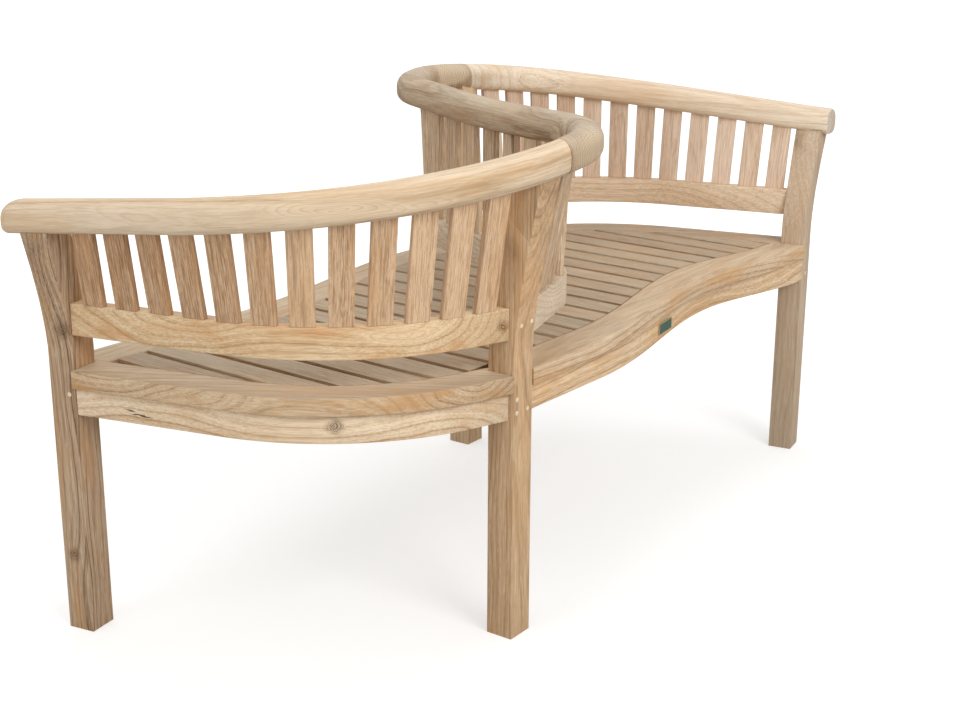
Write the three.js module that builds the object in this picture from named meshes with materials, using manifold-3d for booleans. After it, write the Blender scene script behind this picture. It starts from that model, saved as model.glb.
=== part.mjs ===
// A garden bench in solid teak with an S-shaped back, for two people who face opposite ways.
// Millimetres, +Z up. +X runs along the bench's length and the seat slats lie along Y. The left
// seat opens towards +Y, the right one towards -Y. The sizes below count from the middle of the S,
// and the finished bench is moved so that the origin is on the floor at the middle of its outline.

import * as THREE from "three";
import { mergeVertices } from "three/addons/utils/BufferGeometryUtils.js";
import Module from "manifold-3d";

const wasm = await Module();
wasm.setup();

// Clearances between pieces, and the lap that joins the parts of one piece
const SEAT_GAP = 0.3;
const JOIN_LAP = 0.2;

// Posts: one pair at the ends of the backs, one pair at the inner corners
const POST_ALONG = 51;
const POST_ACROSS = 48;
const END_POST_X = 736;
const END_POST_Y = 253;
const END_POST_ANGLE = 11.3;
const CORNER_POST_X = 334;
const CORNER_POST_Y = 305;
const CORNER_POST_ANGLE = 1.7;
const POST_BEND_RISE = 30;
const POST_BEND_POWER = 1.4;
const POST_CURVE_STEPS = 8;
const LEFT_END_LEAN = 43;
const LEFT_CORNER_LEAN = 50;
const RIGHT_END_LEAN = 75;
const RIGHT_CORNER_LEAN = 17;
const END_POST_FLARE = 5;

// How far the posts' tops rise beside the rail's round underside, as shares of its radius
const SHOULDER_SHARE = 1;
const RIGHT_END_SHOULDER_SHARE = 0.25;

// Heights of the seat and of its boards, and the lower back rail above the seat
const SEAT_HEIGHT = 450;
const BOARD_THICKNESS = 29;
const APRON_HEIGHT = 46;
const BACK_RAIL_RISE = 55;
const BACK_RAIL_HEIGHT = 51;

// The bow: plan of the outer edge of the seat behind each sitter
const BOW_START_X = 765;
const BOW_START_Y = 222;
const BOW_HEADING = -74.4;
const BOW_FIRST_RUN = 260;
const BOW_RADIUS = 416;
const BOW_ANGLE = 56.9;
const BOW_LAST_RUN = 64;
const BOW_STEPS = 40;
const BOW_BOARD_WIDTH = 66;
const BOW_BOARD_END_WIDTH = 60;
const BOW_INSET = 10;

// The front edges: they swell beside the corner post and hollow out beside the end post
const BOARD_OUTER = { swell: 331, hollow: 265, end: 286, swellBefore: 130, hollowX: 345, endX: 655 };
const BOARD_INNER = { swell: 261, hollow: 180, end: 216, swellBefore: 90, hollowX: 395, endX: 660 };
const APRON_OUTER = { swell: 317, hollow: 239, end: 283, swellBefore: 90, hollowX: 407, endX: 700 };
const FRONT_STEPS = 60;

// Aprons and lower back rails
const APRON_THICKNESS = 24;
const BACK_RAIL_THICKNESS = 28;
const MIDDLE_RAIL_HEADING = 67;
const MIDDLE_RAIL_RADIUS = 115;
const MIDDLE_LEFT_RUN = 215;
const MIDDLE_LEFT_ANGLE = 49;
const MIDDLE_LEFT_LAST_RUN = 190;
const MIDDLE_RIGHT_RUN = 190;
const MIDDLE_RIGHT_ANGLE = 45;
const MIDDLE_RIGHT_LAST_RUN = 210;
const MIDDLE_RAIL_STEPS = 44;

// Top rail: a section with a flat bottom and a round top, along a plan of runs and arcs
const RAIL_WIDTH = 51;
const RAIL_MIDDLE_WIDTH = 54;
const RAIL_HEIGHT = 51.5;
const RAIL_TOP_RADIUS = 24;
const RAIL_BOTTOM_RADIUS = 17;
const RAIL_TOP_STEPS = 5;
const RAIL_BOTTOM_STEPS = 5;
const RAIL_HEADING = 70.4;
const RAIL_MIDDLE_RUN = 229;
const LEFT_CORNER_RADIUS = 212;
const LEFT_CORNER_ANGLE = 59.6;
const LEFT_SHOULDER_RUN = 7;
const LEFT_BOW_RADIUS = 428;
const LEFT_BOW_ANGLE = 92.6;
const LEFT_END_RUN = 310;
const RIGHT_CORNER_RADIUS = 118;
const RIGHT_CORNER_ANGLE = 46.1;
const RIGHT_SHOULDER_RUN = 26;
const RIGHT_BOW_RADIUS = 319;
const RIGHT_BOW_ANGLE = 84.2;
const RIGHT_END_RUN = 506;
const RAIL_STEPS_LEFT = 38;
const RAIL_STEPS_MIDDLE = 42;
const RAIL_STEPS_RIGHT = 30;

// Rises of the rail's middle line above the seat, at shares of each half
const RAIL_CORNER_SHARE = 0.3;
const RAIL_BOW_SHARE = 0.65;
const RAIL_MIDDLE_RISE = 331;
const LEFT_CORNER_RISE = 336;
const LEFT_BOW_RISE = 291;
const LEFT_END_RISE = 238;
const RIGHT_CORNER_RISE = 342;
const RIGHT_BOW_RISE = 300;
const RIGHT_END_RISE = 242;

// Joints of the top rail, at distances from the middle
const LEFT_JOINT = 500;
const RIGHT_JOINT = 532;

// Back slats: feet along the lower rail, heads along the top rail
const SLAT_WIDTH = 38;
const SLAT_THICKNESS = 12;
const BOW_SLATS = 12;
const BOW_SLAT_INSET = 17;
const LEFT_FIRST_FOOT = 43;
const LEFT_LAST_FOOT_INSET = 47.1;
const RIGHT_FIRST_FOOT = 33;
const RIGHT_LAST_FOOT_INSET = 72.1;
const LEFT_FIRST_HEAD_INSET = 151;
const LEFT_LAST_HEAD = 637;
const RIGHT_FIRST_HEAD_INSET = 98.7;
const RIGHT_LAST_HEAD = 600;
const MIDDLE_SLATS = 15;
const MIDDLE_FOOT_CROWDING_ANGLE = 51;
const MIDDLE_LEFT_FOOT_CLEARANCE = 13.7;
const MIDDLE_RIGHT_FOOT_CLEARANCE = 41.3;
const MIDDLE_LEFT_HEAD_SPREAD = 31;
const MIDDLE_RIGHT_HEAD_SPREAD = 43;
const MIDDLE_HEAD_INSET = 20;

// Seat slats, the cleats under them and the rail across the middle
const SEAT_SLAT_WIDTH = 47.5;
const SEAT_SLATS_EACH_SIDE = 11;
const LAST_SLAT_INSET = 112.7;
const CLEAT_WIDTH = 45;
const CLEAT_HEIGHT = 22;
const CLEAT_OFFSET = 120;
const CROSS_RAIL_WIDTH = 60;
const CROSS_RAIL_HEIGHT = 24;

const TEAK_RAIL = 0xd8b98c;
const TEAK_POST = 0xbf9c70;
const TEAK_BOARD = 0xcaa878;
const TEAK_APRON = 0xc59e6d;
const TEAK_SLAT = 0xc79c6c;
const TEAK_SEAT = 0xb9a184;
const TEAK_UNDERSIDE = 0xa88557;
const SANDED = 0.62;
const SAWN = 0.78;

const HALF_TURN = 180;
const QUARTER_TURN = HALF_TURN / 2;
const BOARD_BOTTOM = SEAT_HEIGHT - BOARD_THICKNESS;
const APRON_TOP = BOARD_BOTTOM - SEAT_GAP;
const APRON_BOTTOM = BOARD_BOTTOM - APRON_HEIGHT;
const POST_BEND_HEIGHT = SEAT_HEIGHT + POST_BEND_RISE;
const BACK_RAIL_BOTTOM = SEAT_HEIGHT + BACK_RAIL_RISE;
const BACK_RAIL_TOP = BACK_RAIL_BOTTOM + BACK_RAIL_HEIGHT;
const BEYOND = 1.2 * END_POST_X;
const SEAT_SLAT_PITCH = (BOW_START_X - LAST_SLAT_INSET) / SEAT_SLATS_EACH_SIDE;
const CLEAT_JOINT_X = -SEAT_SLAT_PITCH / 2;
const POST_FACE_ALONG = POST_ALONG / 2 + SEAT_GAP;
const POST_FACE_ACROSS = POST_ACROSS / 2 + SEAT_GAP;

const LEFT_END_POST = {
  x: -END_POST_X,
  y: END_POST_Y,
  turn: END_POST_ANGLE,
  outward: HALF_TURN,
  depth: POST_ALONG,
  width: POST_ACROSS,
  lean: LEFT_END_LEAN,
  flare: END_POST_FLARE,
  shoulder: SHOULDER_SHARE,
};
const LEFT_CORNER_POST = {
  x: -CORNER_POST_X,
  y: -CORNER_POST_Y,
  turn: CORNER_POST_ANGLE,
  outward: -QUARTER_TURN,
  depth: POST_ACROSS,
  width: POST_ALONG,
  lean: LEFT_CORNER_LEAN,
  flare: 0,
  shoulder: SHOULDER_SHARE,
};
const RIGHT_END_POST = oppositePost(LEFT_END_POST, RIGHT_END_LEAN, RIGHT_END_SHOULDER_SHARE);
const RIGHT_CORNER_POST = oppositePost(LEFT_CORNER_POST, RIGHT_CORNER_LEAN, SHOULDER_SHARE);

/** The post on the other side of the bench, with a lean and a shoulder of its own. */
function oppositePost(post, lean, shoulder) {
  return { ...post, x: -post.x, y: -post.y, turn: post.turn + HALF_TURN, lean, shoulder };
}

/** Turns degrees into radians. */
function radians(degrees) {
  return THREE.MathUtils.degToRad(degrees);
}

/** A closed geometry as a solid that can be joined and cut. */
function toSolid(geometry) {
  const bare = geometry.clone();
  bare.deleteAttribute("normal");
  bare.deleteAttribute("uv");
  const merged = mergeVertices(bare);
  const mesh = new wasm.Mesh({
    numProp: 3,
    vertProperties: merged.attributes.position.array,
    triVerts: new Uint32Array(merged.index.array),
  });
  return new wasm.Manifold(mesh);
}

/** A solid as a geometry. */
function toGeometry(solid) {
  const mesh = solid.getMesh();
  const geometry = new THREE.BufferGeometry();
  const places = new THREE.BufferAttribute(new Float32Array(mesh.vertProperties), mesh.numProp);
  geometry.setAttribute("position", places);
  geometry.setIndex(new THREE.BufferAttribute(new Uint32Array(mesh.triVerts), 1));
  geometry.computeVertexNormals();
  return geometry;
}

/** A flat plan outline as a solid between two heights. */
function plate(outline, bottom, top) {
  const shape = new THREE.Shape(outline);
  const geometry = new THREE.ExtrudeGeometry(shape, { depth: top - bottom, bevelEnabled: false });
  geometry.translate(0, 0, bottom);
  return toSolid(geometry);
}

/** A block between two corners, turned and moved into a post's own frame when one is given. */
function block(low, high, post) {
  const size = high.clone().sub(low);
  const middle = high.clone().add(low).divideScalar(2);
  const geometry = new THREE.BoxGeometry(size.x, size.y, size.z);
  geometry.translate(middle.x, middle.y, middle.z);
  if (post) {
    geometry.rotateZ(radians(post.turn));
    geometry.translate(post.x, post.y, 0);
  }
  return toSolid(geometry);
}

/** Everything between two pairs of lines in a post's own frame, as high as the bench. */
function ground(post, fromX, toX, fromY, toY) {
  const low = new THREE.Vector3(fromX, fromY, 0);
  const high = new THREE.Vector3(toX, toY, BEYOND);
  return block(low, high, post);
}

/** The same solid on the other side of the bench, turned half a turn about the middle. */
function opposite(solid) {
  return solid.rotate([0, 0, HALF_TURN]);
}

/** A straight part of a plan path. */
function run(length) {
  return { length, turn: 0 };
}

/** A curved part of a plan path. A positive turn goes left. */
function arc(radius, degrees) {
  return { length: radius * radians(Math.abs(degrees)), turn: radians(degrees) };
}

/** A plan path made of runs and arcs, with its length. */
function planPath(x, y, heading, parts) {
  const length = parts.reduce((sum, part) => sum + part.length, 0);
  return { x, y, heading: radians(heading), parts, length };
}

/** The place and heading at a distance along a plan path, which goes on straight at its end. */
function follow(path, distance) {
  let { x, y, heading } = path;
  let left = distance;
  for (const part of path.parts) {
    const step = Math.min(left, part.length);
    const bend = (part.turn * step) / part.length;
    const chord = bend === 0 ? step : (step * Math.sin(bend / 2)) / (bend / 2);
    x += chord * Math.cos(heading + bend / 2);
    y += chord * Math.sin(heading + bend / 2);
    heading += bend;
    left -= step;
  }
  x += left * Math.cos(heading);
  y += left * Math.sin(heading);
  return { x, y, heading };
}

/** The point at an offset to the left of a place on a path. */
function beside(place, offset) {
  const x = place.x - offset * Math.sin(place.heading);
  const y = place.y + offset * Math.cos(place.heading);
  return new THREE.Vector2(x, y);
}

const bowPath = planPath(-BOW_START_X, BOW_START_Y, BOW_HEADING, [
  run(BOW_FIRST_RUN),
  arc(BOW_RADIUS, BOW_ANGLE),
  run(BOW_LAST_RUN),
]);
const middleLeftPath = planPath(0, 0, MIDDLE_RAIL_HEADING - HALF_TURN, [
  run(MIDDLE_LEFT_RUN),
  arc(MIDDLE_RAIL_RADIUS, -MIDDLE_LEFT_ANGLE),
  run(MIDDLE_LEFT_LAST_RUN),
]);
const middleRightPath = planPath(0, 0, MIDDLE_RAIL_HEADING, [
  run(MIDDLE_RIGHT_RUN),
  arc(MIDDLE_RAIL_RADIUS, -MIDDLE_RIGHT_ANGLE),
  run(MIDDLE_RIGHT_LAST_RUN),
]);
const railLeftPath = planPath(0, 0, RAIL_HEADING - HALF_TURN, [
  run(RAIL_MIDDLE_RUN),
  arc(LEFT_CORNER_RADIUS, -LEFT_CORNER_ANGLE),
  run(LEFT_SHOULDER_RUN),
  arc(LEFT_BOW_RADIUS, -LEFT_BOW_ANGLE),
  run(LEFT_END_RUN),
]);
const railRightPath = planPath(0, 0, RAIL_HEADING, [
  run(RAIL_MIDDLE_RUN),
  arc(RIGHT_CORNER_RADIUS, -RIGHT_CORNER_ANGLE),
  run(RIGHT_SHOULDER_RUN),
  arc(RIGHT_BOW_RADIUS, -RIGHT_BOW_ANGLE),
  run(RIGHT_END_RUN),
]);

const railHeights = new THREE.CubicInterpolant(
  [
    -railLeftPath.length,
    -railLeftPath.length * RAIL_BOW_SHARE,
    -railLeftPath.length * RAIL_CORNER_SHARE,
    0,
    railRightPath.length * RAIL_CORNER_SHARE,
    railRightPath.length * RAIL_BOW_SHARE,
    railRightPath.length,
  ],
  [
    SEAT_HEIGHT + LEFT_END_RISE,
    SEAT_HEIGHT + LEFT_BOW_RISE,
    SEAT_HEIGHT + LEFT_CORNER_RISE,
    SEAT_HEIGHT + RAIL_MIDDLE_RISE,
    SEAT_HEIGHT + RIGHT_CORNER_RISE,
    SEAT_HEIGHT + RIGHT_BOW_RISE,
    SEAT_HEIGHT + RIGHT_END_RISE,
  ],
  1,
);

/** A point of the top rail's middle line. Distances to the left of the middle are negative. */
function railPoint(distance) {
  const path = distance < 0 ? railLeftPath : railRightPath;
  const place = follow(path, Math.abs(distance));
  return new THREE.Vector3(place.x, place.y, railHeights.evaluate(distance)[0]);
}

/** The plan heading of the top rail, from its left end to its right end. */
function railHeading(distance) {
  if (distance < 0) return follow(railLeftPath, -distance).heading + radians(HALF_TURN);
  return follow(railRightPath, distance).heading;
}

/** A stretch of the top rail's middle line. */
class RailCurve extends THREE.Curve {
  constructor(from, to) {
    super();
    this.from = from;
    this.to = to;
  }

  getPoint(share, target = new THREE.Vector3()) {
    return target.copy(railPoint(THREE.MathUtils.lerp(this.from, this.to, share)));
  }
}

/** Points around one rounded corner of the rail's section. */
function sectionCorner(upright, level, radius, fromDegrees, steps) {
  const points = [];
  for (let i = 0; i <= steps; i += 1) {
    const angle = radians(fromDegrees + (i / steps) * QUARTER_TURN);
    const x = upright + radius * Math.cos(angle);
    points.push(new THREE.Vector2(x, level + radius * Math.sin(angle)));
  }
  return points;
}

/** The rail's section, grown by a margin. The sweep lays x downwards and y level. */
function railSection(width, margin) {
  const top = RAIL_HEIGHT / 2 - RAIL_TOP_RADIUS;
  const topSide = width / 2 - RAIL_TOP_RADIUS;
  const topRadius = RAIL_TOP_RADIUS + margin;
  const bottom = RAIL_HEIGHT / 2 - RAIL_BOTTOM_RADIUS;
  const bottomSide = width / 2 - RAIL_BOTTOM_RADIUS;
  const bottomRadius = RAIL_BOTTOM_RADIUS + margin;
  return new THREE.Shape([
    ...sectionCorner(bottom, bottomSide, bottomRadius, 0, RAIL_BOTTOM_STEPS),
    ...sectionCorner(-top, topSide, topRadius, QUARTER_TURN, RAIL_TOP_STEPS),
    ...sectionCorner(-top, -topSide, topRadius, HALF_TURN, RAIL_TOP_STEPS),
    ...sectionCorner(bottom, -bottomSide, bottomRadius, -QUARTER_TURN, RAIL_BOTTOM_STEPS),
  ]);
}

/** One piece of the top rail, grown by a margin. */
function railSolid(piece, margin) {
  const extrudePath = new RailCurve(piece.from, piece.to);
  const section = railSection(piece.width, margin);
  return toSolid(new THREE.ExtrudeGeometry(section, { steps: piece.steps, extrudePath }));
}

const railPieces = [
  {
    name: "top_rail_left",
    width: RAIL_WIDTH,
    from: -railLeftPath.length,
    to: -LEFT_JOINT,
    steps: RAIL_STEPS_LEFT,
  },
  {
    name: "top_rail_middle",
    width: RAIL_MIDDLE_WIDTH,
    from: SEAT_GAP - LEFT_JOINT,
    to: RIGHT_JOINT - SEAT_GAP,
    steps: RAIL_STEPS_MIDDLE,
  },
  {
    name: "top_rail_right",
    width: RAIL_WIDTH,
    from: RIGHT_JOINT,
    to: railRightPath.length,
    steps: RAIL_STEPS_RIGHT,
  },
];

/** The room that the top rail takes, with its clearance. */
function railRoom() {
  return wasm.Manifold.union(railPieces.map((piece) => railSolid(piece, SEAT_GAP)));
}

/** The height of the rail's middle line nearest to a plan point. */
function railHeightOver(x, y) {
  const steps = RAIL_STEPS_LEFT * RAIL_STEPS_RIGHT;
  let nearest = Infinity;
  let height = 0;
  for (let i = 0; i <= steps; i += 1) {
    const share = i / steps;
    const distance = THREE.MathUtils.lerp(-railLeftPath.length, railRightPath.length, share);
    const point = railPoint(distance);
    const gap = Math.hypot(point.x - x, point.y - y);
    if (gap < nearest) {
      nearest = gap;
      height = point.z;
    }
  }
  return height;
}

/** A closed solid over rings of four points each, from its foot to its head. */
function loft(rings) {
  const places = rings.flat().flatMap((point) => [point.x, point.y, point.z]);
  const sides = rings[0].length;
  const index = [];
  for (let ring = 0; ring + 1 < rings.length; ring += 1) {
    for (let side = 0; side < sides; side += 1) {
      const low = ring * sides + side;
      const next = ring * sides + ((side + 1) % sides);
      index.push(low, next, next + sides, low, next + sides, low + sides);
    }
  }
  const last = (rings.length - 1) * sides;
  for (let side = 1; side + 1 < sides; side += 1) {
    index.push(0, side + 1, side);
    index.push(last, last + side, last + side + 1);
  }
  const geometry = new THREE.BufferGeometry();
  geometry.setAttribute("position", new THREE.Float32BufferAttribute(places, 3));
  geometry.setIndex(index);
  return toSolid(geometry);
}

/** The corners of a post at a height, leant outward and widened by a share of its flare. */
function postRing(post, height, lean, flareShare) {
  const side = radians(post.turn + post.outward);
  const outward = new THREE.Vector3(Math.cos(side), Math.sin(side), 0);
  const across = new THREE.Vector3(-Math.sin(side), Math.cos(side), 0);
  const halfWidth = (post.width + post.flare * flareShare) / 2;
  const corners = [
    [-post.depth / 2, -halfWidth],
    [post.depth / 2, -halfWidth],
    [post.depth / 2, halfWidth],
    [-post.depth / 2, halfWidth],
  ];
  return corners.map(([out, along]) => {
    const corner = new THREE.Vector3(post.x, post.y, height);
    return corner.addScaledVector(outward, lean + out).addScaledVector(across, along);
  });
}

/** A post that stands straight and curves outward above the seat, fitted under the top rail. */
function postSolid(post, room) {
  const side = radians(post.turn + post.outward);
  const headX = post.x + post.lean * Math.cos(side);
  const headY = post.y + post.lean * Math.sin(side);
  const shoulder = post.shoulder * RAIL_BOTTOM_RADIUS;
  const top = railHeightOver(headX, headY) - RAIL_HEIGHT / 2 + shoulder;
  const rings = [postRing(post, 0, 0, 0)];
  for (let i = 0; i <= POST_CURVE_STEPS; i += 1) {
    const share = i / POST_CURVE_STEPS;
    const height = THREE.MathUtils.lerp(POST_BEND_HEIGHT, top, share);
    const flareShare = Math.max(0, (height - BACK_RAIL_TOP) / (top - BACK_RAIL_TOP));
    rings.push(postRing(post, height, post.lean * share ** POST_BEND_POWER, flareShare));
  }
  return loft(rings).subtract(room);
}

/** The outer edge of the seat behind a sitter, moved inwards by an inset that may change. */
function bowEdge(inset, lastInset = inset) {
  const overrun = 2 * POST_ALONG;
  const points = [];
  for (let i = 0; i <= BOW_STEPS; i += 1) {
    const share = i / BOW_STEPS;
    const distance = THREE.MathUtils.lerp(-overrun, bowPath.length + overrun, share);
    points.push(beside(follow(bowPath, distance), THREE.MathUtils.lerp(inset, lastInset, share)));
  }
  return points;
}

/** A front edge of the right seat, moved inwards by an inset. */
function frontEdge(edge, inset) {
  const points = [];
  for (let i = 0; i <= FRONT_STEPS; i += 1) {
    const x = THREE.MathUtils.lerp(-BEYOND, BEYOND, i / FRONT_STEPS);
    const hollow = THREE.MathUtils.smoothstep(x, -edge.swellBefore, edge.hollowX);
    const end = THREE.MathUtils.smoothstep(x, edge.hollowX, edge.endX);
    const swollen = THREE.MathUtils.lerp(edge.swell, edge.hollow, hollow);
    const y = swollen + (edge.end - edge.hollow) * end;
    points.push(new THREE.Vector2(x, inset - y));
  }
  return points;
}

/** A solid strip between an outer and an inner edge. */
function strip(outer, inner, bottom, top) {
  return plate([...outer, ...inner.slice().reverse()], bottom, top);
}

/** All that lies inside a bow edge. */
function insideBow(edge) {
  const corners = [new THREE.Vector2(BEYOND, -BEYOND), new THREE.Vector2(BEYOND, BEYOND)];
  return plate([...edge, ...corners], 0, BEYOND);
}

/** All that lies behind a front edge of the right seat. */
function insideFront(edge) {
  const corners = [new THREE.Vector2(BEYOND, BEYOND), new THREE.Vector2(-BEYOND, BEYOND)];
  return plate([...edge, ...corners], 0, BEYOND);
}

/** A bowed piece behind a sitter, cut off at the faces of the two posts it runs between. */
function betweenBowPosts(solid) {
  const pastEnd = ground(LEFT_END_POST, -BEYOND, BEYOND, -POST_FACE_ACROSS, BEYOND);
  const pastCorner = ground(LEFT_CORNER_POST, -POST_FACE_ALONG, BEYOND, -BEYOND, BEYOND);
  return solid.subtract(pastEnd).subtract(pastCorner);
}

/** A front piece of the right seat, cut off at the faces of the two posts it runs between. */
function betweenFrontPosts(solid) {
  const pastCorner = ground(LEFT_CORNER_POST, -BEYOND, POST_FACE_ALONG, -BEYOND, BEYOND);
  const pastEnd = ground(RIGHT_END_POST, -BEYOND, POST_FACE_ALONG, -BEYOND, BEYOND);
  return solid.subtract(pastCorner).subtract(pastEnd);
}

/** The notch that a corner post needs in the boards around it, open to the outside. */
function cornerNotch() {
  const sides = POST_FACE_ALONG;
  return ground(LEFT_CORNER_POST, -sides, sides, -BEYOND, POST_FACE_ACROSS);
}

/** The seat's border behind the left sitter. It passes behind the corner post up to the seam. */
function bowBoard() {
  const outer = bowEdge(0);
  const inner = bowEdge(BOW_BOARD_WIDTH, BOW_BOARD_END_WIDTH);
  const pastEnd = ground(LEFT_END_POST, -BEYOND, BEYOND, -POST_FACE_ACROSS, BEYOND);
  const pastSeam = ground(LEFT_CORNER_POST, -SEAT_GAP / 2, BEYOND, -BEYOND, BEYOND);
  const board = strip(outer, inner, BOARD_BOTTOM, SEAT_HEIGHT);
  return board.subtract(pastEnd).subtract(pastSeam).subtract(cornerNotch());
}

/** The room that the bowed border of the right seat takes beside its end post. */
function bowBoardRoom() {
  const outer = bowEdge(-SEAT_GAP);
  const inner = bowEdge(BOW_BOARD_WIDTH + SEAT_GAP, BOW_BOARD_END_WIDTH + SEAT_GAP);
  const pastEnd = ground(LEFT_END_POST, -BEYOND, BEYOND, -POST_FACE_ACROSS, BEYOND);
  const nearEnd = ground(LEFT_END_POST, -BEYOND, BEYOND, -2 * BOW_BOARD_WIDTH, BEYOND);
  const room = strip(outer, inner, 0, BEYOND).subtract(pastEnd).intersect(nearEnd);
  return opposite(room);
}

/** The front border of the right seat, from the seam behind the corner post to the end post. */
function frontBoard() {
  const outer = frontEdge(BOARD_OUTER, 0);
  const inner = frontEdge(BOARD_INNER, 0);
  const pastSeam = ground(LEFT_CORNER_POST, -BEYOND, SEAT_GAP / 2, -BEYOND, BEYOND);
  const pastEnd = ground(RIGHT_END_POST, -BEYOND, POST_FACE_ALONG, -BEYOND, BEYOND);
  const board = strip(outer, inner, BOARD_BOTTOM, SEAT_HEIGHT);
  const fitted = board.subtract(pastSeam).subtract(pastEnd).subtract(cornerNotch());
  return fitted.subtract(bowBoardRoom());
}

/** The apron under the border behind the left sitter. */
function bowApron() {
  const outer = bowEdge(BOW_INSET);
  const inner = bowEdge(BOW_INSET + APRON_THICKNESS);
  return betweenBowPosts(strip(outer, inner, APRON_BOTTOM, APRON_TOP));
}

/** The apron under the front border of the right seat. */
function frontApron() {
  const outer = frontEdge(APRON_OUTER, 0);
  const inner = frontEdge(APRON_OUTER, APRON_THICKNESS);
  return betweenFrontPosts(strip(outer, inner, APRON_BOTTOM, APRON_TOP));
}

/** The lower back rail behind the left sitter. */
function bowBackRail() {
  const outer = bowEdge(BOW_INSET);
  const inner = bowEdge(BOW_INSET + BACK_RAIL_THICKNESS);
  return betweenBowPosts(strip(outer, inner, BACK_RAIL_BOTTOM, BACK_RAIL_TOP));
}

/** A place along the S of the lower middle rail. Distances towards the left are negative. */
function middlePlace(distance) {
  if (distance >= 0) return follow(middleRightPath, distance);
  const place = follow(middleLeftPath, -distance);
  return { ...place, heading: place.heading + radians(HALF_TURN) };
}

/** How far a path runs before it comes within a clearance of a post, or its whole length. */
function reachBefore(path, post, clearance) {
  const near = Math.hypot(post.depth, post.width) / 2 + clearance;
  const steps = MIDDLE_RAIL_STEPS * MIDDLE_RAIL_STEPS;
  for (let i = 0; i < steps; i += 1) {
    const distance = (path.length * i) / steps;
    const place = follow(path, distance);
    if (Math.hypot(place.x - post.x, place.y - post.y) < near) return distance;
  }
  return path.length;
}

/** The lower back rail that crosses the seat between the two corner posts. */
function middleBackRail() {
  const left = [];
  const right = [];
  for (let i = 0; i <= MIDDLE_RAIL_STEPS; i += 1) {
    const share = i / MIDDLE_RAIL_STEPS;
    const from = -middleLeftPath.length;
    const place = middlePlace(THREE.MathUtils.lerp(from, middleRightPath.length, share));
    left.push(beside(place, BACK_RAIL_THICKNESS / 2));
    right.push(beside(place, -BACK_RAIL_THICKNESS / 2));
  }
  const rail = strip(left, right, BACK_RAIL_BOTTOM, BACK_RAIL_TOP);
  const pastLeft = ground(LEFT_CORNER_POST, -BEYOND, POST_FACE_ALONG, -BEYOND, BEYOND);
  return rail.subtract(pastLeft).subtract(opposite(pastLeft));
}

/** A straight back slat. Its head stands under the top rail, up to an inset towards its foot. */
function slatSolid(foot, headDistance, headInset, room) {
  const middle = railPoint(headDistance);
  const bottom = BACK_RAIL_TOP + SEAT_GAP;
  const rise = middle.z - bottom;
  const lean = new THREE.Vector2(middle.x - foot.x, middle.y - foot.y);
  const leanLength = lean.length();
  lean.setLength(leanLength - Math.min(headInset, leanLength));
  const geometry = new THREE.BoxGeometry(SLAT_WIDTH, SLAT_THICKNESS, rise);
  geometry.translate(0, 0, rise / 2);
  const heading = railHeading(headDistance);
  const footSide = new THREE.Vector3(Math.cos(foot.heading), Math.sin(foot.heading), 0);
  const headSide = new THREE.Vector3(Math.cos(heading), Math.sin(heading), 0);
  const side = footSide.add(headSide).normalize();
  const face = new THREE.Vector3(-side.y, side.x, 0);
  const slope = new THREE.Vector3(lean.x / rise, lean.y / rise, 1);
  geometry.applyMatrix4(new THREE.Matrix4().makeBasis(side, face, slope));
  geometry.translate(foot.x, foot.y, bottom);
  return toSolid(geometry).subtract(room);
}

/** The foot of a slat behind the left sitter, at a distance along the bow. */
function bowFoot(distance) {
  const place = follow(bowPath, distance);
  const point = beside(place, BOW_SLAT_INSET);
  return { x: point.x, y: point.y, heading: place.heading };
}

const middleLeftFoot = reachBefore(middleLeftPath, LEFT_CORNER_POST, MIDDLE_LEFT_FOOT_CLEARANCE);
const middleRightFoot = reachBefore(
  middleRightPath,
  RIGHT_CORNER_POST,
  MIDDLE_RIGHT_FOOT_CLEARANCE,
);

/** A slat between the two backs. The share runs from zero at the left to one at the right. */
function middleSlat(share, room) {
  const crowding = radians(MIDDLE_FOOT_CROWDING_ANGLE);
  const spread = Math.sin((2 * share - 1) * crowding) / Math.sin(crowding);
  const foot = middlePlace(THREE.MathUtils.lerp(-middleLeftFoot, middleRightFoot, (spread + 1) / 2));
  const leftHead = middleLeftFoot + MIDDLE_LEFT_HEAD_SPREAD;
  const rightHead = middleRightFoot + MIDDLE_RIGHT_HEAD_SPREAD;
  return slatSolid(foot, THREE.MathUtils.lerp(-leftHead, rightHead, share), MIDDLE_HEAD_INSET, room);
}

/** The seat slats between two numbers counted from the middle, before they are trimmed. */
function seatSlats(first, last) {
  const bottom = APRON_TOP - JOIN_LAP;
  const slats = [];
  for (let i = first; i <= last; i += 1) {
    const low = new THREE.Vector3(i * SEAT_SLAT_PITCH - SEAT_SLAT_WIDTH / 2, -BEYOND, bottom);
    const high = new THREE.Vector3(i * SEAT_SLAT_PITCH + SEAT_SLAT_WIDTH / 2, BEYOND, SEAT_HEIGHT);
    slats.push(block(low, high));
  }
  return wasm.Manifold.union(slats);
}

/** The floor plan inside the seat's border, with a clearance all round. */
function insideBorder() {
  const start = BOW_BOARD_WIDTH + SEAT_GAP;
  const end = BOW_BOARD_END_WIDTH + SEAT_GAP;
  const bow = insideBow(bowEdge(start, end));
  const front = insideFront(frontEdge(BOARD_INNER, SEAT_GAP));
  return bow.intersect(opposite(bow)).intersect(front).intersect(opposite(front));
}

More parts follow.
